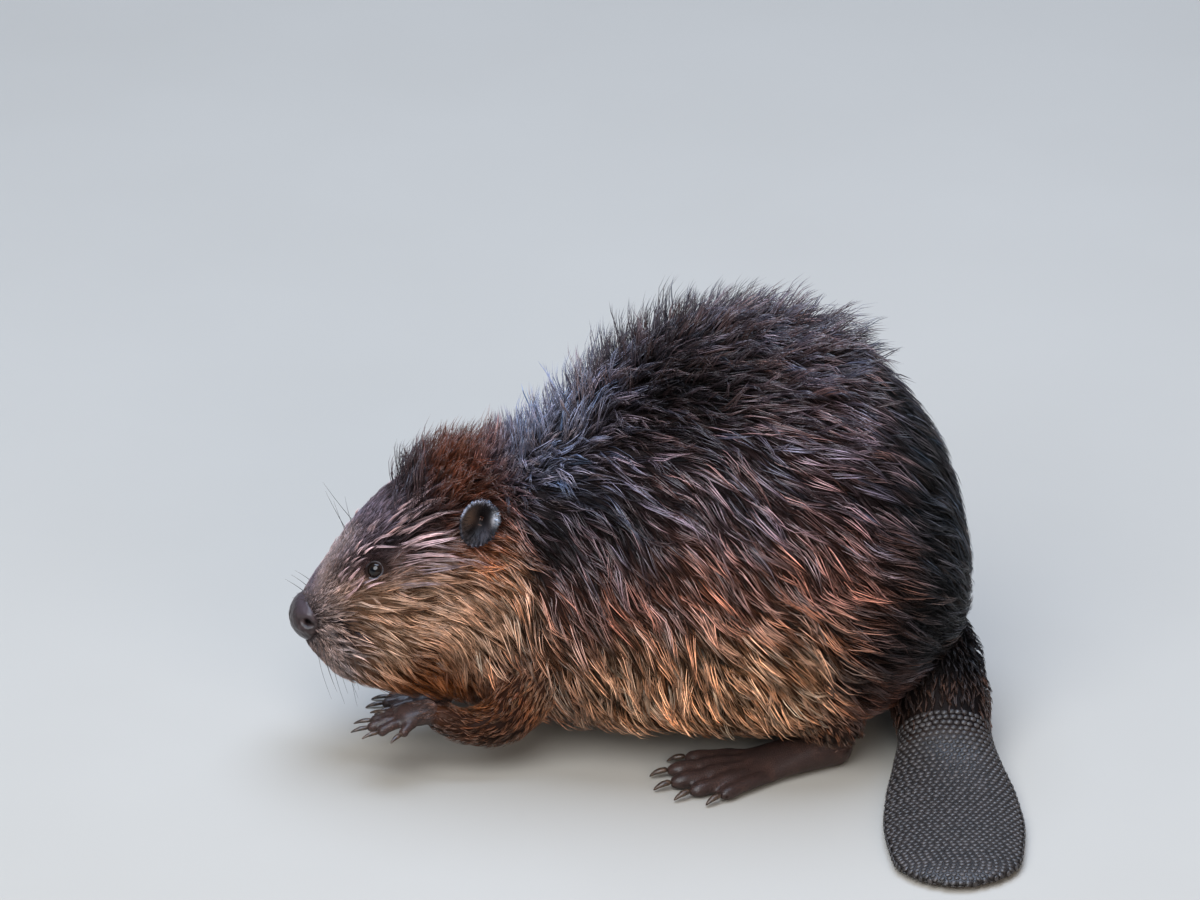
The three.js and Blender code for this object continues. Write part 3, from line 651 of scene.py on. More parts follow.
class Finish:
    """A material and short ways of making its nodes."""

    def __init__(self, name):
        self.material = bpy.data.materials.new(name)
        self.material.use_nodes = True
        self.tree = self.material.node_tree
        self.tree.nodes.clear()

    def make(self, kind, settings=None, sockets=None, out=0):
        """A node of a kind, with its settings (a ramp's stops among them) and then its sockets."""
        node = self.tree.nodes.new(kind)
        for key, value in (settings or {}).items():
            if key == "stops":
                ramp = node.color_ramp.elements
                while len(ramp) < len(value):
                    ramp.new(0.5)
                for stop, (at, colour) in zip(ramp, value):
                    stop.position, stop.color = at, colour
            else:
                setattr(node, key, value)
        for key, value in (sockets or {}).items():
            if isinstance(value, Socket):
                self.tree.links.new(value.out, node.inputs[key])
            else:
                node.inputs[key].default_value = value
        return Socket(self, node.outputs[out]) if node.outputs else None

    def noise(self, scale, detail=3.0, rough=0.5):
        """Cloudy noise from 0 to 1 on the object's own coordinates, in metres."""
        return self.make("ShaderNodeTexNoise", None, {
            "Vector": self.make("ShaderNodeTexCoord", out="Object"), "Scale": scale,
            "Detail": detail, "Roughness": rough})

    def cells(self, scale, feature="F1"):
        """Distance to the nearest of cells scattered over the object's own coordinates."""
        return self.make("ShaderNodeTexVoronoi", {"feature": feature}, {
            "Vector": self.make("ShaderNodeTexCoord", out="Object"), "Scale": scale}, out="Distance")

    def ramp(self, value, low, high, a=0.0, b=1.0):
        """A value carried from low..high to a..b, held at both ends."""
        return self.make("ShaderNodeMapRange", {"clamp": True, "interpolation_type": "SMOOTHSTEP"}, {
            "Value": value, "From Min": low, "From Max": high, "To Min": a, "To Max": b})

    def blend(self, a, b, share, kind="MIX"):
        """Two colours mixed by a share."""
        return self.make("ShaderNodeMix", {"data_type": "RGBA", "blend_type": kind},
                         {0: share, 6: a, 7: b}, out=2)

    def times(self, a, b):
        """Two colours multiplied."""
        return self.blend(a, b, 1.0, "MULTIPLY")

    def grey(self, value):
        """A value as a colour."""
        return self.make("ShaderNodeCombineColor", None, {0: value, 1: value, 2: value})

    def larger(self, a, b):
        """The larger of two values."""
        return self.make("ShaderNodeMath", {"operation": "MAXIMUM"}, {0: a, 1: b})

    def colour(self, name):
        """A colour painted on the vertices."""
        return self.make("ShaderNodeAttribute", {"attribute_name": name}, out="Color")

    def value(self, name):
        """A single value painted on the vertices."""
        return self.make("ShaderNodeAttribute", {"attribute_name": name}, out="Fac")

    def bump(self, height, strength, distance, normal=None):
        """A bumped normal from a height, with its distance in metres."""
        sockets = {"Height": height, "Strength": strength, "Distance": distance}
        if normal:
            sockets["Normal"] = normal
        return self.make("ShaderNodeBump", None, sockets)

    def surface(self, **sockets):
        """The finished shader; underscores in names stand for spaces."""
        shader = self.make("ShaderNodeBsdfPrincipled", None,
                           {key.replace("_", " "): value for key, value in sockets.items()})
        self.make("ShaderNodeOutputMaterial", None, {"Surface": shader})
        return self.material


# ---- markings and painted sheen: one colour map for skin and coat --------------------------------

# Top of the back: dark brown, its bluish tint partly a painted sheen of reflected sky.
BACK_BROWN_WITH_SHEEN = (0.066, 0.046, 0.051)
SADDLE = (0.008, 0.006, 0.006)
RUMP_BROWN = (0.018, 0.017, 0.019)
CHESTNUT = (0.178, 0.079, 0.056)
# Upper flank: its own brown, its violet tint partly a painted sheen of reflected sky.
UPPER_FLANK_WITH_SHEEN = (0.098, 0.059, 0.062)
LOW_FLANK = (0.310, 0.158, 0.082)
BELLY = (0.055, 0.029, 0.019)
# Painted sheen: the nape's bluish grey stands in for reflected sky.
NAPE_SHEEN = (0.180, 0.174, 0.218)
CROWN_RED = (0.085, 0.026, 0.013)
BROW_DARK = (0.036, 0.022, 0.023)
BROW_GAP = (0.020, 0.012, 0.013)
STREAK = (0.235, 0.150, 0.140)
# Forehead: its own brown with a painted lilac sheen for reflected sky.
FOREHEAD_WITH_SHEEN = (0.112, 0.080, 0.094)
MUZZLE = (0.345, 0.250, 0.217)
CHEEK_TAN = (0.368, 0.200, 0.114)
JAW_RUST = (0.160, 0.048, 0.012)
EAR_PATCH = (0.280, 0.070, 0.010)
CUFF_TAN = (0.310, 0.190, 0.110)
SHOULDER = (0.010, 0.006, 0.007)
NECK_SHADE = (0.019, 0.010, 0.009)
CHEST = (0.085, 0.042, 0.027)
PAW_HAIR = (0.060, 0.036, 0.030)
PAW_DARK = (0.035, 0.020, 0.017)
LIP_DARK = (0.045, 0.022, 0.020)
EAR_DARK = (0.007, 0.006, 0.007)
TAIL_DARK = (0.014, 0.011, 0.010)
LID_GREY = (0.035, 0.031, 0.036)
# Painted sheen: the lower lid's pale bluish grey stands for light caught on its wet edge.
LID_SHEEN = (0.120, 0.125, 0.150)
PAD_DARK = (0.040, 0.030, 0.035)
PAD_ROW = 6.4  # from one row of whisker roots to the next


def near(p, centre, reach):
    """1 at a place and falling off around it as a bell, the same on both sides."""
    q = np.stack([p[..., 0], -np.abs(p[..., 1]), p[..., 2]], -1)
    return np.exp(-(((q - centre) / reach) ** 2).sum(-1))


def painted(colour, layers):
    """A colour with tones laid over it one after another, each by its own share from 0 to 1."""
    for tone, share in layers:
        colour = colour + (np.asarray(tone) - colour) * np.clip(share, 0, 1)[..., None]
    return colour


def markings_and_sheen(p):
    """Coat colour at places: bands by height between the under line and the top line, changed by
    region along the body, with borders moved by smooth noise. Some tones hold painted sheen: the
    nape's bluish grey, the lilac of the forehead and bridge, and part of the tint of the upper flank
    and of the top of the back stand in for reflected sky."""
    p = p + np.stack([waves(p, 60, seed) for seed in (11, 12, 13)], -1) * 7
    x, z = p[..., 0], p[..., 2]
    top = np.interp(x, BODY_STATIONS[:, 0], BODY_STATIONS[:, 1])
    under = np.interp(x, BODY_STATIONS[:, 2], BODY_STATIONS[:, 3])
    high = (z - under) / (top - under)
    head = fade(x + 0.25 * (z - 150), -118, -78)
    rows = ease(np.sin((z - 0.2 * x) * 2 * np.pi / PAD_ROW), 0.0, 0.7)
    return painted(np.ones(p.shape) * CHESTNUT, (
        # Upper flank brown, partly tinted as painted sheen.
        (UPPER_FLANK_WITH_SHEEN, ease(high, 0.52, 0.68)),
        (LOW_FLANK, fade(high, 0.26, 0.50) * fade(x, 95, 175)),
        # Top of the back: dark brown with part painted sheen.
        (BACK_BROWN_WITH_SHEEN, ease(high, 0.76, 0.95) * ease(x, -110, -50)),
        (SADDLE, near(p, (24, -60, 312), (52, 60, 44))),
        (SHOULDER, near(p, (-50, -90, 223), (46, 90, 31))),
        (RUMP_BROWN, ease(x, 128, 212)),
        (SADDLE, near(p, (245, -40, 88), (52, 120, 74))),
        (SADDLE, near(p, (160, -90, 104), (42, 90, 42))),
        # Painted sheen on the nape: bluish grey for reflected sky.
        (NAPE_SHEEN, near(p, (-71, -20, 257), (40, 64, 31))),
        (CHEST, near(p, (-92, -60, 78), (44, 80, 52))),
        (NECK_SHADE, near(p, (-90, -70, 200), (26, 44, 46))),
        (CHEEK_TAN, head * fade(high, 0.62, 0.85)),
        (JAW_RUST, head * fade(high, 0.20, 0.42) * ease(x, -236, -200)),
        (CROWN_RED, head * ease(high, 0.72, 0.9)),
        (BROW_DARK, ease(high, 0.75, 0.84) * fade(x, -176, -150) * ease(x, -240, -222)),
        (BROW_GAP, near(p, (-203, -46, 186), (34, 26, 17))),
        # The forehead band under the top line, with its painted sheen.
        (FOREHEAD_WITH_SHEEN, ease(high, 0.86, 0.95) * fade(x, -206, -184)),
        (MUZZLE, fade(x, -246, -218)),
        (BROW_GAP, near(p, (-237, -27, 111), (17, 18, 15)) * rows * 1.5),
        # The bridge over the nose pad: the forehead colour with its painted sheen.
        (FOREHEAD_WITH_SHEEN, near(p, (-252, 0, 140), (20, 24, 16))),
        (PAD_DARK, near(p, (-265, 0, 114), (14, 50, 24))),
        (NECK_SHADE, near(p, EYE_POINT - (9, 0, 2), (9, 14, 8)) * 0.85),
        (CHEST, near(p, (-108, -66, 100), (26, 60, 42))),
        (EAR_PATCH, near(p, (-138, -66, 180), (27, 40, 22))),
        (CUFF_TAN, near(p, (-124, -70, 166), (9, 30, 9)) * 0.6),
        (BELLY, fade(z, 28, 66)),
    ))


# ---- skin ----------------------------------------------------------------------------------------

VOXEL = 0.0027
SKIN_TRIANGLES = 185000
HEAD_FINE = 2.1  # how many times finer the head is worked than the body
FLOOR_FINE = 1.8  # how many times finer, in height only, the flat parts near the floor are worked


def warp_tables():
    """Running sums of the local scale along X and up Z, which spread the places that need finer
    work so that an even voxel becomes smaller there."""
    x = np.linspace(-400, 400, 801)
    scale = 1 + (HEAD_FINE - 1) * fade(x, -150, -80)
    z = np.linspace(-100, 1000, 1101)
    lift = 1 + (FLOOR_FINE - 1) * fade(z, 18, 40)
    return (x, scale, np.cumsum(scale) - np.cumsum(scale)[400],
            z, np.cumsum(lift) - np.cumsum(lift)[100])


def warped(p):
    """Spread X by its running sum, Y and Z by the scale at that X, then Z by its own running sum."""
    x, scale, sums, z, lifted = warp_tables()
    s = np.interp(p[:, 0], x, scale)
    return np.stack([np.interp(p[:, 0], x, sums), p[:, 1] * s,
                     np.interp(p[:, 2] * s, z, lifted)], 1)


def unwarped(p):
    """The inverse of warped()."""
    x, scale, sums, z, lifted = warp_tables()
    back = np.interp(p[:, 0], sums, x)
    s = np.interp(back, x, scale)
    return np.stack([back, p[:, 1] / s, np.interp(p[:, 2], lifted, z) / s], 1)


def mesh_arrays(work):
    """Vertices and triangles of an object with its modifiers applied; the object is then removed."""
    shown = work.evaluated_get(bpy.context.evaluated_depsgraph_get()).to_mesh()
    shown.calc_loop_triangles()
    verts = np.empty(len(shown.vertices) * 3, np.float32)
    shown.vertices.foreach_get("co", verts)
    triangles = np.empty(len(shown.loop_triangles) * 3, np.int32)
    shown.loop_triangles.foreach_get("vertices", triangles)
    mesh = work.data
    bpy.data.objects.remove(work)
    bpy.data.meshes.remove(mesh)
    return verts.reshape(-1, 3).astype(float), triangles.reshape(-1, 3)


def work_object(verts, faces):
    """A passing object for the modifiers that finish a surface."""
    mesh = bpy.data.meshes.new("work")
    mesh.from_pydata(verts.tolist(), [], faces.tolist())
    return add_object("work", mesh)


def united(parts):
    """All parts as one closed skin: voxels in the warped space, then back to drawing millimetres."""
    verts, faces = joined(parts)
    work = work_object(warped(verts) / 1000, faces)
    remesh = work.modifiers.new("one skin", "REMESH")
    remesh.mode, remesh.voxel_size, remesh.use_smooth_shade = "VOXEL", VOXEL, True
    verts, faces = mesh_arrays(work)
    return unwarped(verts * 1000), faces


def collapsed(verts, faces, count):
    """The same surface with fewer triangles, most of them left where it bends most."""
    work = work_object(verts, faces)
    work.modifiers.new("fewer", "DECIMATE").ratio = min(1.0, count / len(faces))
    return mesh_arrays(work)


def relaxed(verts, faces, rounds):
    """Each vertex moved half the way to the mean of its neighbours, round after round."""
    pairs = np.vstack([faces[:, [0, 1]], faces[:, [1, 2]], faces[:, [2, 0]]])
    a, b = pairs.T
    count = np.bincount(a, minlength=len(verts))[:, None]
    for _ in range(rounds):
        sums = np.stack([np.bincount(a, verts[b, k], len(verts)) for k in range(3)], 1)
        verts = verts + (sums / np.maximum(count, 1) - verts) * 0.5
    return verts


def vertex_normals(verts, faces):
    """Area-weighted mean of the neighbouring face normals."""
    a, b, c = (verts[faces[:, k]] for k in range(3))
    n = np.cross(b - a, c - a)
    total = sum(np.stack([np.bincount(faces[:, k], n[:, m], len(verts)) for m in range(3)], 1)
                for k in range(3))
    return unit(total)


def eye_frame(side):
    """Centre of the eye, its outward direction, the direction toward the nose, and up."""
    out = mirrored(EYE_OUT, side)
    toward_nose = unit(np.array((-1.0, 0, -0.35)) - out * np.dot((-1.0, 0, -0.35), out))
    up = np.cross(out, toward_nose) * -side
    return mirrored(EYE_CENTRE, side), out, toward_nose, up * np.sign(up[2])


LID_WIDE, LID_HIGH, LID_BALL, LID_EDGE = 7.5, 6.6, 8.6, (0.7, 0.6)
LID_CORNER = (1.6, 0.12)  # how far the inner corner is drawn out, and over how much of the ring


def lid_ring(side):
    """The two lids as one closed ring: a small oval carried round an opening that is drawn out to
    a point at the inner corner, lying on a ball a little larger than the eye."""
    centre, out, nose, up = eye_frame(side)
    turn = np.linspace(0, 2 * np.pi, 72, endpoint=False)
    inner = np.exp(-((turn + np.pi) % (2 * np.pi) - np.pi) ** 2 / LID_CORNER[1])
    a = np.cos(turn) * (LID_WIDE + LID_CORNER[0] * inner)
    b = np.sin(turn) * LID_HIGH
    across = unit(np.stack([a, b], 1))
    depth = np.sqrt(np.maximum(LID_BALL**2 - a**2 - b**2, 4))
    middle = centre + nose * a[:, None] + up * b[:, None] + out * depth[:, None]
    sideways = nose * across[:, :1] + up * across[:, 1:]
    around = circle(12)
    ring = (middle[:, None] + sideways[:, None] * (np.cos(around) * LID_EDGE[0])[:, None]
            + out * (np.sin(around) * LID_EDGE[1])[:, None])
    i = np.arange(ring.size // 3).reshape(ring.shape[:2])
    return outward(ring.reshape(-1, 3), row_faces(np.vstack([i, i[:1]])))


def mouth_line(x):
    """Height of the mouth line: a gentle slope that rises more toward the corner."""
    return 80 + 0.1 * (x + 262) + 9 * ease(x, -246, -222)


def lips(p, inner, outer):
    """1 on the mouth line and 0 farther than outer from it, as far back as the corner."""
    x, z = p[..., 0], p[..., 2]
    return fade(np.abs(z - mouth_line(x)), inner, outer) * fade(x, -228, -219)


def smooth_skin():
    """Body, legs, feet, webs, ears and tail joined and smoothed, with fewer triangles."""
    parts = [body.shell()]
    for word in SIDES:
        paw, foot = paws[word], feet[word]
        parts += [form.shell() for form in (legs[word], shanks[word], ears[word][0], paw.pad)]
        parts += [*paw.toes(), foot.pad.shell(), *foot.toes(), web_sheet(foot)]
    parts.append(tail_coat.shell())
    verts, faces = united(parts)
    return collapsed(relaxed(verts, faces, 3), faces, SKIN_TRIANGLES)


def creased(verts, faces):
    """The skin with its mouth line and the creases behind the whisker pads pressed in along the
    normals, drawn back behind the nose pad and kept over the floor."""
    x, y, z = verts.T
    mouth = bell((z - mouth_line(x)) / 1.7) * fade(x, -226, -216) * 3.2
    crease = (bell((x + 0.9 * (z - 105) + 236) / 3.5) * ease(z, 90, 98) * fade(z, 116, 124)
              * ease(np.abs(y), 20, 28) * 1.6)
    verts = verts - vertex_normals(verts, faces) * (mouth + crease)[:, None]
    within = far((verts - NOSE_CENTRE) / NOSE_RADII)
    verts[:, 0] += 8 * ease(1 - within, -0.02, 0.12)
    verts[:, 2] = np.maximum(verts[:, 2], 0)
    return verts


def bare_and_scaled(verts):
    """1 where the skin is a foot's bare hide, and 1 where it is the tail's scaled paddle."""
    x, y, z = verts.T
    bare = np.zeros(len(verts))
    for word, side in SIDES.items():
        wrist, away = paws[word].at, verts - feet[word].at
        bare = np.maximum(bare, fade(x, wrist[0] - 2, wrist[0] + 8) * (y * side > 30)
                          * (z < wrist[2] + 14) * (far(verts - wrist) < 80))
        bare = np.maximum(bare, (np.abs(away[:, 1]) < 60) * (away[:, 0] < 30) * (away[:, 0] > -160)
                          * fade(z, 22, 30))
    scaled = fade(y + 0.25 * (z - 20), -118, -106) * (x > 148) * (x < 288) * (z < 60) * (y < -95)
    return bare, scaled


def make_skin():
    """The skin in place of all the flesh, with its lids, and what each place of it is: bare hide,
    scaled tail, ear or lid, how far hair covers it, and its markings with their painted sheen,
    highlights and shade."""
    verts, faces = smooth_skin()
    verts = creased(verts, faces)
    lids = joined([lid_ring(side) for side in SIDES.values()])
    lid = np.concatenate([np.zeros(len(verts)), np.ones(len(lids[0]))])
    verts, faces = joined([(verts, faces), lids])
    bare, scaled = bare_and_scaled(verts)
    # Painted sheen: the lower half of each lid ring is painted pale bluish grey.
    lower_lid_sheen = lid * fade(verts[:, 2] - EYE_CENTRE[2], -3.5, 2.5)
    ear = np.zeros(len(verts))
    colour = markings_and_sheen(verts)
    for word in SIDES:
        here = fade(far(verts - ears[word][1]), 20, 24)
        colour = painted(colour, [(ear_colour(verts, word), here)])
        ear = np.maximum(ear, here)
    lip = lips(verts, 1.2, 3.6)
    colour = painted(colour, (
        (PAD_DARK, near(verts, (-262, 0, 112), (22, 60, 22))), (PAW_DARK, bare),
        (TAIL_DARK, scaled), (LID_GREY, lid), (LID_SHEEN, lower_lid_sheen), (LIP_DARK, lip)))
    # Cover also darkens the skin in its finish, as painted shade under the long coat.
    cover = np.maximum(ease(verts[:, 0] + 0.45 * (verts[:, 2] - 160), -246, -190),
                       ease(np.abs(verts[:, 1]), 9, 19) * 0.85)
    replaced = ["head", "lower_jaw", "neck", "trunk", "tail_root", "tail_paddle"]
    for word in SIDES:
        replaced += [f"{part}_{word}" for part in ("ear", "foreleg", "forepaw", "hindleg", "hindfoot")]
    make_piece("skin", "skin", verts, faces, replaced, "fur_flank", Markings=colour,
               Bare=np.maximum(bare, np.maximum(lid, lip)), Scaled=scaled, EarSkin=ear, Cover=cover)


# ---- coat ----------------------------------------------------------------------------------------

# Least and most of a strand's length, height and width as shares of its lock's
STRAND_REACH, STRAND_LIFT, STRAND_WIDTH = (0.72, 1.08), (0.8, 1.1), (0.75, 1.25)
ROOTS_AHEAD = 1.4  # how far roots spread along a lock, as a share of how far they spread across it
ROOT_SUNK, FLOOR_CLEAR = 1.2, 0.8  # a strand's root under the skin, its line over the floor
STRAND_UNDER, STRAND_OVER = 0.35, 0.75  # its corners' distance from its line, in half widths
TONE_LIMITS = (-1.9, 0.95)  # powers of e for the darkest and the palest strand


def strand_faces(rings):
    """Triangles of one strand of three-cornered rings with a closed root and a pointed tip."""
    faces = [(0, 2, 1)]
    for r in range(rings - 1):
        for c in range(3):
            a, b = r * 3 + c, r * 3 + (c + 1) % 3
            faces += [(a, b + 3, a + 3), (a, b, b + 3)]
    tip, last = rings * 3, (rings - 1) * 3
    faces += [(last + c, last + (c + 1) % 3, tip) for c in range(3)]
    return np.array(faces)


def grow_locks(form, row, column, rng, length, lean, height, width, strands=5, rings=3, spread=2.4,
               pull=(0.8, 1.0), curl=0.08, swing=9.0, tones=(0.34, 0.13), rise_power=2.4):
    """Locks of thin pointed strands rooted in the skin. Each lock steps along the surface in the
    direction of its lie; its strands start beside each other, draw together toward the tip, and
    rise from the skin to their height. Gives the strands' corners, roots and marks."""
    count = len(row)

    def draw(least, most):
        return rng.uniform(least, most, (count, strands))

    stops = np.linspace(0, 1, rings + 1)
    rows, columns, sideways, forward = [row], [column], [], []
    bend = rng.normal(0, 1, count) * curl
    turn = rng.normal(0, swing, count)
    for k in range(rings + 1):
        r, c = rows[-1], columns[-1]
        n, back, down = form.directions(r, c)
        down = down * np.sign(dot(down, form.read(form.round_columns, r, c)))
        down = down * np.where(c % form.columns < form.columns / 2, 1, -1)[:, None]
        a = np.radians(form.read(lean, r, c) + turn + rng.normal(0, 4, count)) + bend * k
        go = back * np.cos(a)[:, None] + down * np.sin(a)[:, None]
        forward.append(go)
        sideways.append(np.cross(n, go))
        if k < rings:
            dr, dc = form.steps(r, c, go * (length * (stops[k + 1] - stops[k]))[:, None])
            rows.append(r + dr)
            columns.append(c + dc)
    rows, columns = np.stack(rows, 1), np.stack(columns, 1)
    forward, sideways = np.stack(forward, 1), np.stack(sideways, 1)

    # Each strand's own root beside the lock's line, its reach and how far it closes in
    spread = np.broadcast_to(spread, count)[:, None]
    side = draw(-1, 1) * spread
    ahead = draw(-ROOTS_AHEAD, ROOTS_AHEAD) * spread
    reach = draw(*STRAND_REACH)[..., None]
    close = draw(*pull)[..., None]
    r = rows[:, None, :1] + (rows - rows[:, :1])[:, None] * reach
    c = columns[:, None, :1] + (columns - columns[:, :1])[:, None] * reach
    move = (forward[:, None] * (ahead[..., None] * (1 - 0.5 * stops))[..., None]
            + sideways[:, None] * (side[..., None] * (1 - close * stops**0.9))[..., None])
    dr, dc = form.steps(*(np.repeat(line[:, None], strands, 1) for line in (rows, columns)), move)
    r, c = r + dr, c + dc
    n = form.read(form.normal, r, c)
    shades = rng.normal(0, tones[0], (count, 1)) + rng.normal(0, tones[1], (count, strands))
    tone = np.exp(np.clip(shades, *TONE_LIMITS))
    lift = height[:, None] * draw(*STRAND_LIFT) * (0.85 + 0.15 * tone)
    rise = (lift[..., None] + ROOT_SUNK) * (1 - (1 - stops) ** rise_power) - ROOT_SUNK
    p = form.read(form.base, r, c) + n * rise[..., None]
    p[..., 2] = np.maximum(p[..., 2], FLOOR_CLEAR)

    # Three corners round each strand's line, thickest a third of the way along
    along = unit(np.gradient(p, axis=2))
    across = unit(np.cross(n, along))
    out = np.cross(along, across)
    size = width[:, None] * draw(*STRAND_WIDTH)
    taper = np.interp(stops[:-1], (0, 0.35, 0.7, 1), (0.8, 1, 0.8, 0.3))
    half = (size[..., None] * taper / 2)[..., None]
    q, across, out = p[:, :, :-1], across[:, :, :-1], out[:, :, :-1]
    under = out * half * STRAND_UNDER
    corners = np.stack([q - across * half - under, q + across * half - under,
                        q + out * half * STRAND_OVER], 3)
    verts = np.concatenate([corners.reshape(count, strands, -1, 3), p[:, :, -1:]], 2)
    warm = np.clip(rng.normal(size=(count, 1)), -2, 2) + 0 * tone
    shine = np.repeat(0.12 + 0.88 * ease(length, 6, 20), strands)
    return {"verts": verts.reshape(count * strands, -1, 3), "root": p[:, :, 0].reshape(-1, 3),
            "row": np.repeat(row, strands), "column": np.repeat(column, strands),
            "tone": tone.ravel(), "warm": warm.ravel(), "shine": shine, "rings": rings}


CREST_TOP = 360  # height that the crest's locks reach toward
LEAN_DRIFT = 11  # degrees that the lie wanders
PATCH = 0.003  # size of a tuft's patch in the bake map
# The blue lean is partly a painted reflection: some locks are tinted as if they mirrored the bluish
# sky.
HUE_SWING = np.array([0.14, 0.0, -0.11])  # how far a lock's colour leans to red or to blue
COAT_SHARE = 1.0


def make_coat(name, locks, form, slot, keep):
    """One piece of coat from the strands kept, with its markings and painted sheen, tones that carry
    painted light and shade on the body's layers, and bake patches.
    """
    verts, rings = locks["verts"][keep], locks["rings"]
    count, each = verts.shape[:2]
    faces = strand_faces(rings)
    along = np.concatenate([np.repeat(np.arange(rings), 3) / rings, [1.0]])
    colour = locks["own"][keep] if "own" in locks else markings_and_sheen(locks["root"][keep])
    tone, warm = locks["tone"][keep], locks["warm"][keep]
    shine = locks["shine"][keep] * (0.3 + 0.7 * ease(colour.mean(1), 0.012, 0.06))
    # Each strand's tone scales its colour; on the body's layers it carries painted light and shade.
    colour = colour * tone[:, None] * (1 + warm[:, None] * HUE_SWING)
    row, column = locks["row"][keep], locks["column"][keep]
    u = 0.02 + 0.96 * (row - row.min()) / max(np.ptp(row), 1e-6)
    v = 0.02 + 0.96 * (column % form.columns) / form.columns
    corner = np.concatenate([np.tile([0, 0.5, 1], rings), [0.5]])
    patch = np.stack([(corner - 0.5) * PATCH, (along - 0.5) * PATCH], 1)
    uv = (np.stack([u, v], 1)[:, None] + patch)[:, faces.ravel()].reshape(-1, 2)
    make_piece(name, "coat", verts.reshape(-1, 3), copies(faces, count, each), (), slot, uv,
               Markings=np.repeat(colour, each, 0), Along=np.tile(along, count),
               Gloss=np.repeat(ease(tone, 0.25, 1.2) * shine, each))


def short_hair(rng, name, form, slot, weight, number, size, sizes, tall, rises, wide, strands=5,
               rings=2, spread=2.2, thin=0.0, lean=0.0, paint=None, **looks):
    """Hair of one even kind as one piece: its length is size times a share from sizes, less by the
    share thin at the form's end, and its height is tall over the form's depth times a share from
    rises. It lies at one lean. paint, when given, makes its colours from its roots and their shares
    of the form's rows."""
    row, column = form.scatter(int(number * COAT_SHARE), weight, rng)
    length = rng.uniform(*sizes, len(row)) * size * (1 - thin * row / form.rows)
    rise = (tall + form.read(form.depth, row, column)) * rng.uniform(*rises, len(row))
    locks = grow_locks(form, row, column, rng, length, np.full(form.outer.shape[:2], lean), rise,
                       np.full(len(row), wide), strands, rings, spread, **looks)
    if paint:
        locks["own"] = paint(locks["root"], np.repeat(row / form.rows, strands))
    split_coat(name, locks, form, slot, 1)


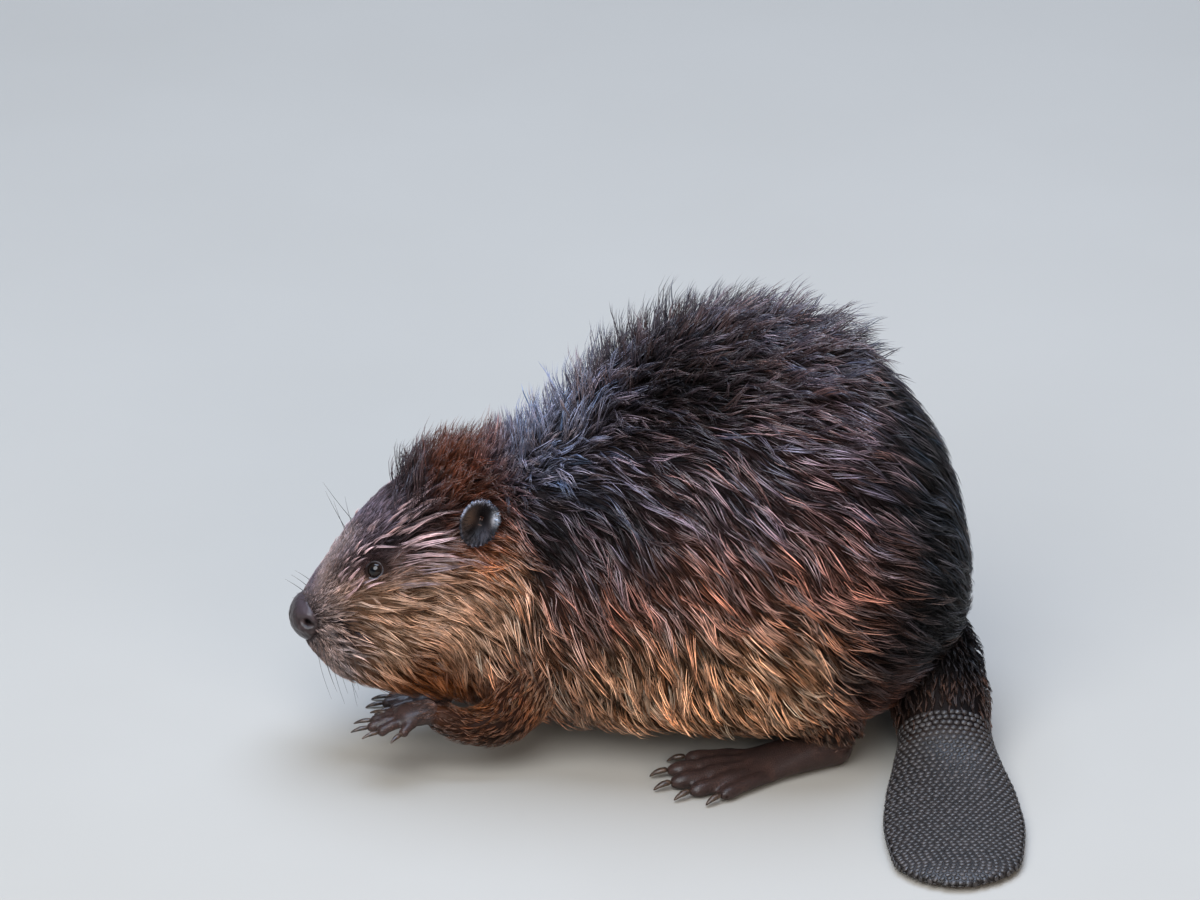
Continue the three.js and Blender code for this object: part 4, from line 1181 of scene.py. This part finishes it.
def make_body_coat(rng):
    """The body's coat: an under layer darkened as painted shade, the head's short hair, the pale
    streaks over the brow, wet locks, the crest that stands on the back and crown, and a fringe low on
    the flank. In each layer the locks that lie lower are painted darker and the higher ones paler, as
    painted shade and painted light."""
    lean, length = body_field(COAT_LEAN), body_field(COAT_LENGTH)
    lean = lean + LEAN_DRIFT * ease(length, 8, 20) * (waves(body.base, 75, 31)
                                                      + 0.6 * waves(body.base, 34, 32))
    station = body.by_row(ROW_STATIONS)
    folded = FROM_BACK + 0 * station
    clear = ease(far((body.outer - NOSE_CENTRE) / NOSE_RADII), 0.98, 1.04)
    clear = clear * (1 - lips(body.outer, 1.3, 2.2))
    beyond, orbit = 1, 0
    for side in SIDES.values():
        from_eye = body.outer - mirrored(EYE_POINT, side)
        away = far(from_eye)
        clear = clear * ease(away, 6.8, 7.6)
        beyond = beyond * ease(away, 10, 15)
        orbit = orbit + fade(away, 13, 18)
        length = length * (1 - 0.75 * fade(away, 9, 26) * fade(from_eye[..., 0], -3, 3))
        clear = clear * ease(far(body.outer - mirrored(EAR_POINT, side)), 9, 12)
    under = 1 - 0.6 * ease(folded, 125, 165)
    streaks = (ease(station, 3.6, 4.2) * fade(station, 6.8, 7.6) * ease(folded, 22, 30)
               * fade(folded, 62, 70) * clear * beyond)
    head, trunk = fade(station, 8.6, 9.6), ease(station, 8.4, 9.4)
    short = head * clear * under * fade(length, 11, 17)
    shaggy = head * clear * under * ease(length, 5, 10)
    parted = 0.5 + 0.5 * ease(waves(body.base, 24, 33), -0.7, 0.7)
    crown = ease(station, 6.4, 7.6) * fade(station, 9.5, 11) * fade(folded, 25, 50)
    ridge = ease(station, 9.5, 11.5) * fade(station, 16.4, 18.0) * fade(folded, 28, 58)

    layers = [
        # name, pieces, slot, locks, density, length share, height share, width and its share of the
        # length, strands, rings, spread and its share of the length, swing, painted shade of the
        # lowest locks and painted light of the highest, tones
        ("under_head", 1, "fur_face", 1750, shaggy, (0.4, 0.6), (0.2, 0.5),
         (0.8, 0.0), 4, 2, (1.8, 0.0), 12, (0.15, 0.3), (0.3, 0.2)),
        ("under_body", 1, "fur_flank", 2400, trunk * under, (0.5, 0.8), (0.15, 0.5),
         (1.8, 0.0), 4, 2, (3.6, 0.0), 14, (0.10, 0.22), (0.3, 0.2)),
        ("face", 1, "fur_face", 3900, np.maximum(short, orbit * 3 * clear) / (6 + length),
         (0.8, 1.3), (0.4, 1.1), (0.22, 0.012), 5, 2,
         (0.5, 0.15), 7, (0.55, 1.4), (0.16, 0.24)),
        ("cheek", 1, "fur_face", 1150, shaggy * parted, (1.0, 1.5), (0.35, 1.3), (0.32, 0.006), 9, 3,
         (1.2, 0.12), 9, (0.52, 1.4), (0.22, 0.42)),
        ("streaks", 1, "fur_face", 95, streaks, (1.5, 2.3), (1.3, 1.9), (0.46, 0.008), 9, 3,
         (1.2, 0.06), 4, (1.1, 1.9), (0.2, 0.35)),
        ("body", 4, "fur_flank", 5000, trunk * under * parted, (0.9, 1.55), (0.35, 1.25),
         (0.64, 0.0), 7, 3, (5.4, 0.0), 7, (0.20, 2.4), (0.25, 0.70)),
    ]
    for (name, pieces, slot, number, weight, longer, higher, wide, strands, rings, spread, swing,
         shades, tones) in layers:
        row, column = body.scatter(int(number * COAT_SHARE), weight, rng)
        size = body.read(length, row, column)
        high = rng.uniform(0, 1, len(row)) ** 1.3
        height = body.read(body.depth * (1 - 0.4 * ease(station, 16.5, 18.5)), row, column)
        height = height * (higher[0] + (higher[1] - higher[0]) * high)
        locks = grow_locks(body, row, column, rng, size * rng.uniform(*longer, len(row)), lean,
                           height, wide[0] + wide[1] * size, strands, rings,
                           spread[0] + spread[1] * size, swing=swing, tones=tones)
        # Painted light and shade: brightness follows the draw that sets height, darkening low locks as
        # if shaded and brightening high ones as if lit.
        shade = shades[0] * (shades[1] / shades[0]) ** high
        locks["tone"] = locks["tone"] * np.repeat(shade, strands)
        if slot == "fur_face":
            locks["warm"] *= 0.35
        if name == "streaks":
            locks["own"] = locks["root"] * 0 + STREAK
        split_coat(name, locks, body, slot, pieces)

    fringe = (ease(station, 6.6, 8) * fade(station, 18, 19.5) * ease(folded, 98, 108)
              * fade(folded, 124, 134))
    for name, number, weight, sizes, tilt, wide, strands, slot in (
        ("crown", 600, crown, (20, 38), (28, 64), 0.6, 5, "fur_back"),
        ("crest", 700, ridge, (26, 44), (30, 70), 0.7, 5, "fur_back"),
        ("fringe", 300, fringe, (22, 32), (12, 30), 0.7, 7, "fur_flank"),
    ):
        row, column = body.scatter(int(number * COAT_SHARE), weight, rng)
        size = rng.uniform(*sizes, len(row))
        tall = np.radians(rng.uniform(*tilt, len(row)))
        rise = np.minimum(size * np.sin(tall), CREST_TOP - body.read(body.base, row, column)[:, 2])
        locks = grow_locks(body, row, column, rng, size * np.cos(tall), lean, rise,
                           np.full(len(row), wide), strands, 3, 3.0, (0.88, 1.0), 0.2, 15,
                           rise_power=1.5)
        split_coat(name, locks, body, slot, 1)


def make_limb_coat(rng):
    """Short hair of the legs, the feet's upper sides and the tail's root, darker toward the feet."""
    for word in SIDES:
        for name, form, start, end, number, size, wide, darkening in (
            ("foreleg", legs[word], 0.22, 1.0, 760, 14, 0.5, (0.55, 0.95)),
            ("shank", shanks[word], 0.1, 1.0, 440, 14, 0.6, (0.55, 0.95)),
            ("paw", paws[word].pad, 0.0, 0.5, 200, 8, 0.4, (-1, 0)),
            ("foot", feet[word].pad, 0.0, 0.3, 240, 10, 0.45, (-1, 0)),
        ):
            t = form.by_row(np.linspace(0, 1, form.rows))
            weight = ease(t, start - 0.05, start) * fade(t, end - 0.3, end + 0.01)
            if name in ("paw", "foot"):
                weight = weight * ease(form.normal[..., 2], -0.1, 0.3)
            short_hair(rng, f"{name}_{word}", form, "fur_flank", weight, number, size, (0.7, 1.2),
                       0.6, (0.5, 1.1), wide, thin=0.4, tones=(0.25, 0.45),
                       paint=lambda root, along: painted(
                           markings_and_sheen(root), [(PAW_HAIR, ease(along, *darkening))]))
    t = tail_coat.by_row(np.linspace(0, 1, tail_coat.rows))
    weight = ease(t, 0.05, 0.1) * fade(t, TAIL_BARE - 0.06, TAIL_BARE - 0.01)
    short_hair(rng, "tail_root", tail_coat, "fur_back", weight, 800, 14, (0.7, 1.2), 0.6, (0.7, 1.2),
               1.0, strands=4, rings=3)


def off_the_face(locks):
    """The numbers of the body's strands whose line crosses neither an eye nor the cup of an ear,
    its corners' middles joined by straight steps."""
    verts = locks["verts"]
    rings = verts[:, :-1].reshape(len(verts), locks["rings"], 3, 3).mean(2)
    line = np.concatenate([rings, verts[:, -1:]], 1)
    keep = np.ones(len(verts), bool)
    for t in np.linspace(0, locks["rings"], 16):
        k = min(int(t), locks["rings"] - 1)
        p = line[:, k] + (line[:, k + 1] - line[:, k]) * (t - k)
        for word, side in SIDES.items():
            centre, out = eye_frame(side)[:2]
            ahead = (p - centre) @ out
            beside = far(p - centre - ahead[:, None] * out)
            keep &= (beside > LID_HIGH) | (ahead < 0)
            _, centre, forward, up = ears[word]
            facing = np.cross(forward, up) * side
            facing = facing * np.sign(facing[1] * side)
            keep &= (np.hypot(*ear_plane(p, word)) > EAR_CLEAR[0]) | (
                (p - centre) @ facing < EAR_CLEAR[1])
    return np.flatnonzero(keep)


def split_coat(name, locks, form, slot, pieces):
    """The strands of one layer as pieces of even size, one behind another along the form."""
    clear = off_the_face(locks) if form is body else np.arange(len(locks["row"]))
    order = clear[np.argsort(locks["row"][clear], kind="stable")]
    for k, part in enumerate(np.array_split(order, pieces)):
        number = f"_{k + 1}" if pieces > 1 else ""
        make_coat(f"coat_{name}{number}", locks, form, slot, part)


def ear_colour(p, word):
    """Colour of an ear by place in its own plane: dark with a grey rim, brown in the front of the cup
    and pale at the upper rear. Painted shade blackens the hollow of the hole forward of the middle,
    and painted highlights lay pale bluish arcs on the upper front and lower rear of the rim."""
    a, b = ear_plane(p, word)
    out = np.hypot(a, b)
    return painted(np.ones(p.shape) * EAR_DARK, (
        ((0.034, 0.022, 0.017), bell((a - 0.3) / 0.16, (b - 0.08) / 0.26)),
        ((0.026, 0.026, 0.033), bell((a + 0.16) / 0.2, (b + 0.22) / 0.18)),
        # Painted shade: two black bells darken the hollow of the hole.
        ((0.003, 0.002, 0.002), bell((a - 0.03) / 0.13, (b - 0.16) / 0.2)),
        ((0.003, 0.002, 0.002), bell((a - 0.16) / 0.10, (b + 0.14) / 0.14)),
        ((0.026, 0.026, 0.033), ease(out, 0.42, 0.48)),
        # Painted highlights: pale bluish arcs on the upper front and the lower rear of the rim.
        ((0.20, 0.22, 0.29), ease(out, 0.42, 0.47) * ease(b + 0.5 * a, 0.22, 0.36)),
        ((0.18, 0.20, 0.27), ease(out, 0.40, 0.46) * ease(-b - 0.7 * a, 0.34, 0.46)),
        ((0.42, 0.44, 0.50), bell((a + 0.37) / 0.10, (b - 0.22) / 0.14)),
    ))


def make_ear_hair(rng, word):
    """Short hair over the back of an ear, lying toward the rim, finer hair in the cup that lies
    toward the rim too, and a few longer hairs that stand at the upper rear rim."""
    form = ears[word][0]
    t = form.by_row(np.arange(form.rows))
    a, b = ear_plane(form.outer, word)
    pale = bell((a + 0.38) / 0.14, (b - 0.2) / 0.2)
    for name, zone, number, size, tall, lean in (
        ("ear_back", (t > 3) & (t < 20), 300, 4.5, 0.5, 0.0),
        ("ear_cup", (t >= 28) & (t < 44), 340, 6.0, 0.5, 180.0),
        ("ear_tuft", pale * ((t > 22) & (t < 38)), 60, 7.0, 1.6, 180.0),
    ):
        short_hair(rng, f"{name}_{word}", form, "ear", zone.astype(float), number, size, (0.7, 1.3),
                   tall, (0.5, 1.3), 0.24, strands=4, spread=0.9, lean=lean,
                   paint=lambda root, _: ear_colour(root, word))


# ---- eyes, nose, claws, whiskers and tail scales --------------------------------------------------

CORNEA = 0.35  # how far the cornea stands out of the ball


def make_eyes():
    """Each eye: a ball whose front swells into the cornea, rows running from back to front."""
    tilt = np.linspace(0.02, np.pi - 0.02, 48)[:, None, None]
    turn = circle(64)[None, :, None]
    radius = EYE_RADIUS - CORNEA + CORNEA * bell((np.pi - tilt) / 0.55)
    for word, side in SIDES.items():
        centre, out, nose, up = eye_frame(side)
        grid = centre + radius * (np.sin(tilt) * (nose * np.cos(turn) + up * np.sin(turn))
                                  - out * np.cos(tilt))
        verts, faces = tube(grid, centre - out * (EYE_RADIUS - CORNEA), centre + out * EYE_RADIUS)
        off = far(np.cross(verts - centre, out))
        make_piece(f"eye_ball_{word}", "eye", verts, faces, [f"eye_{word}"], "eye", Off=off)


# x, z, reach along X and Z, and depth or height of the nose pad's bells
NOSTRIL_BELLS = [(-259.8, 115.8, 2.9, 2.7, 6.0), (-256.6, 113.9, 2.2, 1.5, 2.4)]  # hole and its tail
WING_BELLS = [(-262, 109.5, 5, 3.2, 1.3), (-258, 121.5, 7, 3, 1.0)]  # edges under and over the hole


def make_nose():
    """The nose pad: a ball flattened at the front, with a groove down its middle, a raised edge
    and two nostrils curved like commas, all pressed in as bells."""
    tilt = np.linspace(0.015, np.pi - 0.015, 110)[:, None]
    turn = circle(150)[None]
    p = np.stack([-np.cos(tilt) + 0 * turn, np.sin(tilt) * np.cos(turn),
                  np.sin(tilt) * np.sin(turn)], -1) * NOSE_RADII + NOSE_CENTRE

    def pressed(p):
        x, y, z = p[..., 0], np.abs(p[..., 1]), p[..., 2]
        hole, wing = (sum(high * bell((x - cx) / rx, (z - cz) / rz) for cx, cz, rx, rz, high in bells)
                      for bells in (NOSTRIL_BELLS, WING_BELLS))
        groove = 1.9 * bell(y / 1.6) * fade(z, 110, 122)
        dish = 1.0 * bell(y / 7, (z - 120) / 6)
        sunk = 2.2 * ease(x, -259, -248)
        return (wing * ease(y, 8, 16) - fade(x, -262, -248) * (groove + dish)
                - hole * ease(y, 10, 16) - sunk)

    p = p + unit(p - NOSE_CENTRE) * (pressed(p) - 0.3)[..., None]
    p = p + unit(p - NOSE_CENTRE) * (0.09 * waves(p, 4.5, 4) + 0.03 * waves(p, 1.9, 5))[..., None]
    front, back = (NOSE_CENTRE + np.array([s * (NOSE_RADII[0] - 0.6), 0, 0]) for s in (-1, 1))
    verts, faces = tube(p, front, back)
    # Painted shade: marks the inside of each nostril, which the finish paints near black.
    nostril_shade = ease(1 - far((verts - NOSE_CENTRE) / NOSE_RADII), 0.09, 0.2)
    make_piece("nose_pad", "nose", verts, faces, ["nose"], "nose_pad", Deep=nostril_shade,
               # Painted sheen: the top of the pad is marked to be painted a paler lilac, as the
               # bridge's reflected sky.
               Tone=ease(verts[:, 2], 114, 124) * ease(verts[:, 0], -271, -262))


def make_claws():
    """Each foot's five claws as one piece of curved cones that come out of the digits."""
    for word in SIDES:
        for name, foot in (("fore", paws[word]), ("hind", feet[word])):
            verts, faces = joined(foot.nails())
            verts[:, 2] = np.maximum(verts[:, 2], 0.05)
            make_piece(f"claws_{name}_{word}", "claw", verts, faces,
                       [f"claw_{name}_{word}_{k}" for k in range(1, 6)], "claw")


WHISKER_RADIUS, WHISKER_THINNED, WHISKER_WANDER = 0.26, 0.78, 0.12  # at the root, by the tip, of aim
WHISKERS = [  # how many, first root, step between roots, aim, sag at the tip, shortest and longest
    (6, (-247, -29, 93), (4.6, -1.6, 0.6), (0.18, -0.30, -0.94), (0.10, 0, -0.02), (30, 44)),
    (5, (-252, -27, 99), (4.8, -1.8, 1.2), (-0.10, -0.85, -0.25), (0.25, 0, -0.25), (28, 42)),
    (5, (-251, -26, 105), (4.6, -2.0, 1.6), (-0.20, -0.95, 0.15), (0.35, 0, -0.20), (24, 38)),
    (3, (-259, -9, 129), (3.0, -3.0, 3.0), (-0.75, -0.35, 0.60), (0, 0, -0.10), (14, 19)),
    (2, (-226, -6, 183), (5.0, -6.0, 5.0), (-0.42, 0.05, 0.90), (0.05, 0, 0), (30, 42)),
]


def make_whiskers():
    """Whiskers of the pads, with a few over the nose and the eyes: thin tapering tubes, each bent
    from its aim by its sag times the square of the way along."""
    rng = np.random.default_rng(7)
    u, turn = np.linspace(0, 1, 12)[:, None], circle(6)[None, :, None]
    meshes = []
    for side in SIDES.values():
        for number, root, step, aim, sag, sizes in WHISKERS:
            for k in range(number):
                start = np.array(root) + np.array(step) * k
                go = unit(np.array(aim) + rng.normal(0, WHISKER_WANDER, 3))
                length = rng.uniform(*sizes)
                path = start + go * length * (u - 0.04) + np.array(sag) * length * u**2
                path, radius = mirrored(path, side), WHISKER_RADIUS * (1 - WHISKER_THINNED * u)
                along = unit(np.gradient(path, axis=0))
                across = unit(np.cross(along, (0.2, 0.1, 1)))
                up = np.cross(along, across)
                ring = path[:, None] + radius[:, None] * (across[:, None] * np.cos(turn)
                                                          + up[:, None] * np.sin(turn))
                meshes.append(tube(ring, path[0], path[-1] + along[-1] * 0.3))
    make_piece("whiskers", "whisker", *joined(meshes), (), "whisker")


SCALE_LONG, SCALE_WIDE = 4.3, 5.4  # from one row of tail scales to the next, and along a row
SCALE_JITTER, SCALE_SUNK = 0.25, 0.1  # how far a scale wanders, and how deep it is rooted
SCALE_LEAST, SCALE_CLEAR = 1.6, 0.3  # height of the lowest scale's middle, and of the lowest corner
SCALE_OUTLINE = np.array([(-2.3, 0), (-1.3, 0.5), (1.3, 0.5), (2.6, 0), (1.3, -0.5), (-1.3, -0.5)])


def make_scales():
    """Tail scales: small closed plates in staggered rows over the paddle. Each is a low dome with
    six sides whose rear edge is lifted over the row behind it."""
    start = int(TAIL_BARE * tail.rows)
    length = far(np.diff(tail.outer.mean(1), axis=0))
    run = np.concatenate([[0], np.cumsum(length)])
    centres, sizes = [], []
    for k, distance in enumerate(np.arange(run[start] - 6, run[-1] - 1.5, SCALE_LONG)):
        r = np.interp(distance, run, np.arange(tail.rows))
        ring = tail.read(tail.outer, np.full(tail.columns, r), np.arange(tail.columns, dtype=float))
        arc = np.concatenate([[0], np.cumsum(far(np.diff(np.vstack([ring, ring[:1]]), axis=0)))])
        number = max(int(arc[-1] / SCALE_WIDE), 6)
        at = (np.arange(number) + 0.5 * (k % 2)) * arc[-1] / number
        columns = np.interp(at, arc, np.arange(tail.columns + 1))
        centres.append(np.stack([np.full(number, r), columns], 1))
        sizes.append(np.full(number, arc[-1] / number))
    centres, sizes = np.vstack(centres), np.concatenate(sizes)
    rng = np.random.default_rng(3)
    row, column = centres.T
    n, back, across = tail.directions(row, column)
    p = tail.read(tail.outer, row, column) - n * SCALE_SUNK
    p = (p + back * rng.normal(0, SCALE_JITTER, (len(p), 1))
         + across * rng.normal(0, SCALE_JITTER, (len(p), 1)))
    keep = p[:, 2] > SCALE_LEAST
    p, n, back, across, sizes = (values[keep] for values in (p, n, back, across, sizes))
    reach = SCALE_OUTLINE[:, :1] * rng.uniform(0.92, 1.08, (len(p), 1, 1))
    wide = SCALE_OUTLINE[:, 1:] * (sizes * 0.93)[:, None, None]
    flat = p[:, None] + back[:, None] * reach + across[:, None] * wide
    low = flat - n[:, None] * 0.5
    high = p[:, None] + (flat - p[:, None]) * 0.84 + n[:, None] * (0.37 + 0.12 * reach)
    dome = p + n * 0.75 + back * 0.2
    verts = np.concatenate([low, high, dome[:, None]], 1)
    verts[..., 2] = np.maximum(verts[..., 2], SCALE_CLEAR)
    faces = []
    for k in range(6):
        m = (k + 1) % 6
        faces += [(k, m, 6 + m), (k, 6 + m, 6 + k), (6 + k, 6 + m, 12)]
    faces += [(0, k + 1, k) for k in range(1, 5)]
    faces = outward(verts[0] - verts[0].mean(0), np.array(faces))[1]
    edge = [1.0] * 6 + [0.6] * 6 + [0.0]
    make_piece("tail_scales", "scale", verts.reshape(-1, 3), copies(faces, len(p), len(edge)), (),
               "tail_scales", Tone=np.repeat(rng.uniform(0.7, 1.35, len(p)), len(edge)),
               Edge=np.tile(edge, len(p)))


# ---- finishes ------------------------------------------------------------------------------------

HIDE_CELLS = 600  # little scutes of the feet's skin to the metre


def make_materials():
    """Every finish of the animal."""
    made = {}

    m = Finish("wet_coat")
    base = m.colour("Markings")
    along = m.value("Along")
    # Painted shade: each strand darkens toward its root, where it lies under the hair around it;
    # cloudy noise varies the tone at random.
    shade = m.ramp(along, 0.0, 0.45, 0.35, 1.1) * m.ramp(m.noise(140, 2), 0.3, 0.7, 0.75, 1.25)
    rough = m.ramp(m.noise(60, 2), 0.35, 0.65, 0.28, 0.42)
    made["coat"] = m.surface(Base_Color=m.times(base, m.grey(shade)), Roughness=rough,
                             Specular_IOR_Level=0.12,
                             Coat_Weight=m.value("Gloss") * m.ramp(along, 0.0, 0.4, 0.2, 1.0),
                             Coat_Roughness=0.24, Coat_IOR=1.75, Coat_Tint=(0.88, 0.92, 1, 1))

    m = Finish("skin")
    base = m.colour("Markings")
    bare, scaled, ear = m.value("Bare"), m.value("Scaled"), m.value("EarSkin")
    hide = m.larger(m.larger(bare, scaled), ear)
    # Painted shade: the skin is darkened where long hair covers it, as if shaded by the coat.
    shaded_under_hair = m.times(base, m.blend((0.85, 0.85, 0.85, 1), (0.14, 0.12, 0.12, 1),
                                       m.value("Cover")))
    scute = m.larger(m.ramp(m.cells(HIDE_CELLS, "DISTANCE_TO_EDGE"), 0.02, 0.22), ear)
    worn = m.blend(base, m.times(base, (1.9, 1.7, 1.55, 1)),
                   m.ramp(m.noise(90, 4), 0.35, 0.7) * (0.35 + 0.65 * scute))
    leather = m.blend(m.times(base, (0.6, 0.58, 0.58, 1)), worn, 0.25 + 0.75 * scute)
    colour = m.blend(shaded_under_hair, leather, hide)
    height = m.make("ShaderNodeMix", {"data_type": "FLOAT"},
                    {0: hide, 2: m.noise(900, 3, 0.7), 3: scute})
    normal = m.bump(m.noise(150, 3), 0.4, 0.0014)
    normal = m.bump(height, 0.7, 0.0007, normal)
    rough = m.ramp(m.noise(70, 3), 0.3, 0.7, 0.44, 0.64) - hide * 0.04
    bared = m.larger(hide, 1 - m.value("Cover"))
    made["skin"] = m.surface(Base_Color=colour, Roughness=rough, Normal=normal,
                             Specular_IOR_Level=0.1, Coat_Weight=(bared - ear) * 0.4,
                             Coat_Roughness=0.36, Coat_IOR=1.55)

    m = Finish("eye")
    off = m.value("Off")
    iris = m.blend((0.012, 0.007, 0.004, 1), (0.005, 0.003, 0.003, 1),
                   m.ramp(m.noise(900, 4), 0.35, 0.65))
    colour = m.blend((0.002, 0.002, 0.003, 1), iris, m.ramp(off, 2.2, 2.7))
    colour = m.blend(colour, (0.06, 0.045, 0.042, 1), m.ramp(off, 6.3, 6.9))
    made["eye"] = m.surface(Base_Color=colour, Roughness=0.07, Specular_IOR_Level=0.4)

    m = Finish("nose_pad")
    colour = m.blend((0.016, 0.010, 0.010, 1), (0.046, 0.031, 0.031, 1),
                     m.ramp(m.noise(260, 4), 0.35, 0.7))
    # Painted sheen: the top of the pad is painted paler and lilac where it meets the bridge.
    colour = m.blend(colour, (0.046, 0.033, 0.038, 1), m.value("Tone"))
    # Painted shade: the nostrils' hollows are painted near black and kept without gloss.
    nostril_shade = m.value("Deep")
    colour = m.blend(colour, (0.002, 0.001, 0.001, 1), nostril_shade)
    normal = m.bump(m.cells(900), 0.3, 0.0003)
    rough = m.ramp(m.noise(300, 2), 0.3, 0.7, 0.40, 0.52)
    made["nose"] = m.surface(Base_Color=colour, Roughness=rough, Normal=normal,
                             Specular_IOR_Level=0.12, Coat_Weight=(1 - nostril_shade) * 0.45,
                             Coat_Roughness=0.3)

    m = Finish("claw")
    streak = m.noise(420, 4, 0.6)
    colour = m.blend((0.020, 0.012, 0.009, 1), (0.085, 0.052, 0.034, 1), m.ramp(streak, 0.35, 0.75))
    normal = m.bump(m.noise(700, 2), 0.3, 0.0003)
    made["claw"] = m.surface(Base_Color=colour, Roughness=m.ramp(streak, 0.2, 0.8, 0.26, 0.42),
                             Normal=normal)

    m = Finish("whisker")
    colour = m.blend((0.014, 0.010, 0.009, 1), (0.05, 0.035, 0.03, 1),
                     m.ramp(m.noise(60, 2), 0.4, 0.7))
    made["whisker"] = m.surface(Base_Color=colour, Roughness=0.35)

    m = Finish("tail_scale")
    tone, edge = m.value("Tone"), m.value("Edge")
    shade = tone * (1 - edge * 0.5) * m.ramp(m.noise(240, 4, 0.6), 0.3, 0.7, 0.75, 1.3)
    rough = m.ramp(m.noise(180, 2), 0.3, 0.7, 0.33, 0.52)
    made["scale"] = m.surface(Base_Color=m.times((0.040, 0.033, 0.031, 1), m.grey(shade)),
                              Roughness=rough, Normal=m.bump(m.noise(900, 3), 0.35, 0.0004))

    m = Finish("studio_floor")
    colour = m.blend((0.33, 0.305, 0.27, 1), (0.36, 0.335, 0.30, 1), m.noise(3, 3))
    made["floor"] = m.surface(Base_Color=colour, Roughness=0.75, Specular_IOR_Level=0.2,
                              Normal=m.bump(m.noise(40, 3), 0.05, 0.001))
    return made


# ---- the animal ----------------------------------------------------------------------------------

make_camera()
make_light("key", (-1.3, -2.3, 3.1), 3.4, 215, (0.90, 0.95, 1.0))
make_light("sky", (0.2, 0.9, 3.5), 3.3, 225, (0.62, 0.76, 1.0))
make_light("front", (1.2, -4.2, 1.5), 3.4, 125, (1.0, 0.89, 0.80), mirror=False)
world = bpy.data.worlds.new("studio")
world.use_nodes = True
world.node_tree.nodes["Background"].inputs["Color"].default_value = (0.80, 0.86, 0.95, 1)
world.node_tree.nodes["Background"].inputs["Strength"].default_value = 0.18
bpy.context.scene.world = world
bpy.context.scene.view_settings.view_transform = "Standard"

materials = make_materials()
floor_mesh = bpy.data.meshes.new("studio_floor")
floor_mesh.from_pydata([(-9, -9, 0), (9, -9, 0), (9, 9, 0), (-9, 9, 0)], [], [(0, 1, 2, 3)])
floor_mesh.materials.append(materials["floor"])
floor = add_object("studio_floor", floor_mesh)

make_skin()
make_eyes()
make_nose()
make_claws()
make_whiskers()
make_scales()
coat_rng = np.random.default_rng(20)
make_body_coat(coat_rng)
make_limb_coat(coat_rng)
for side_word in SIDES:
    make_ear_hair(coat_rng, side_word)
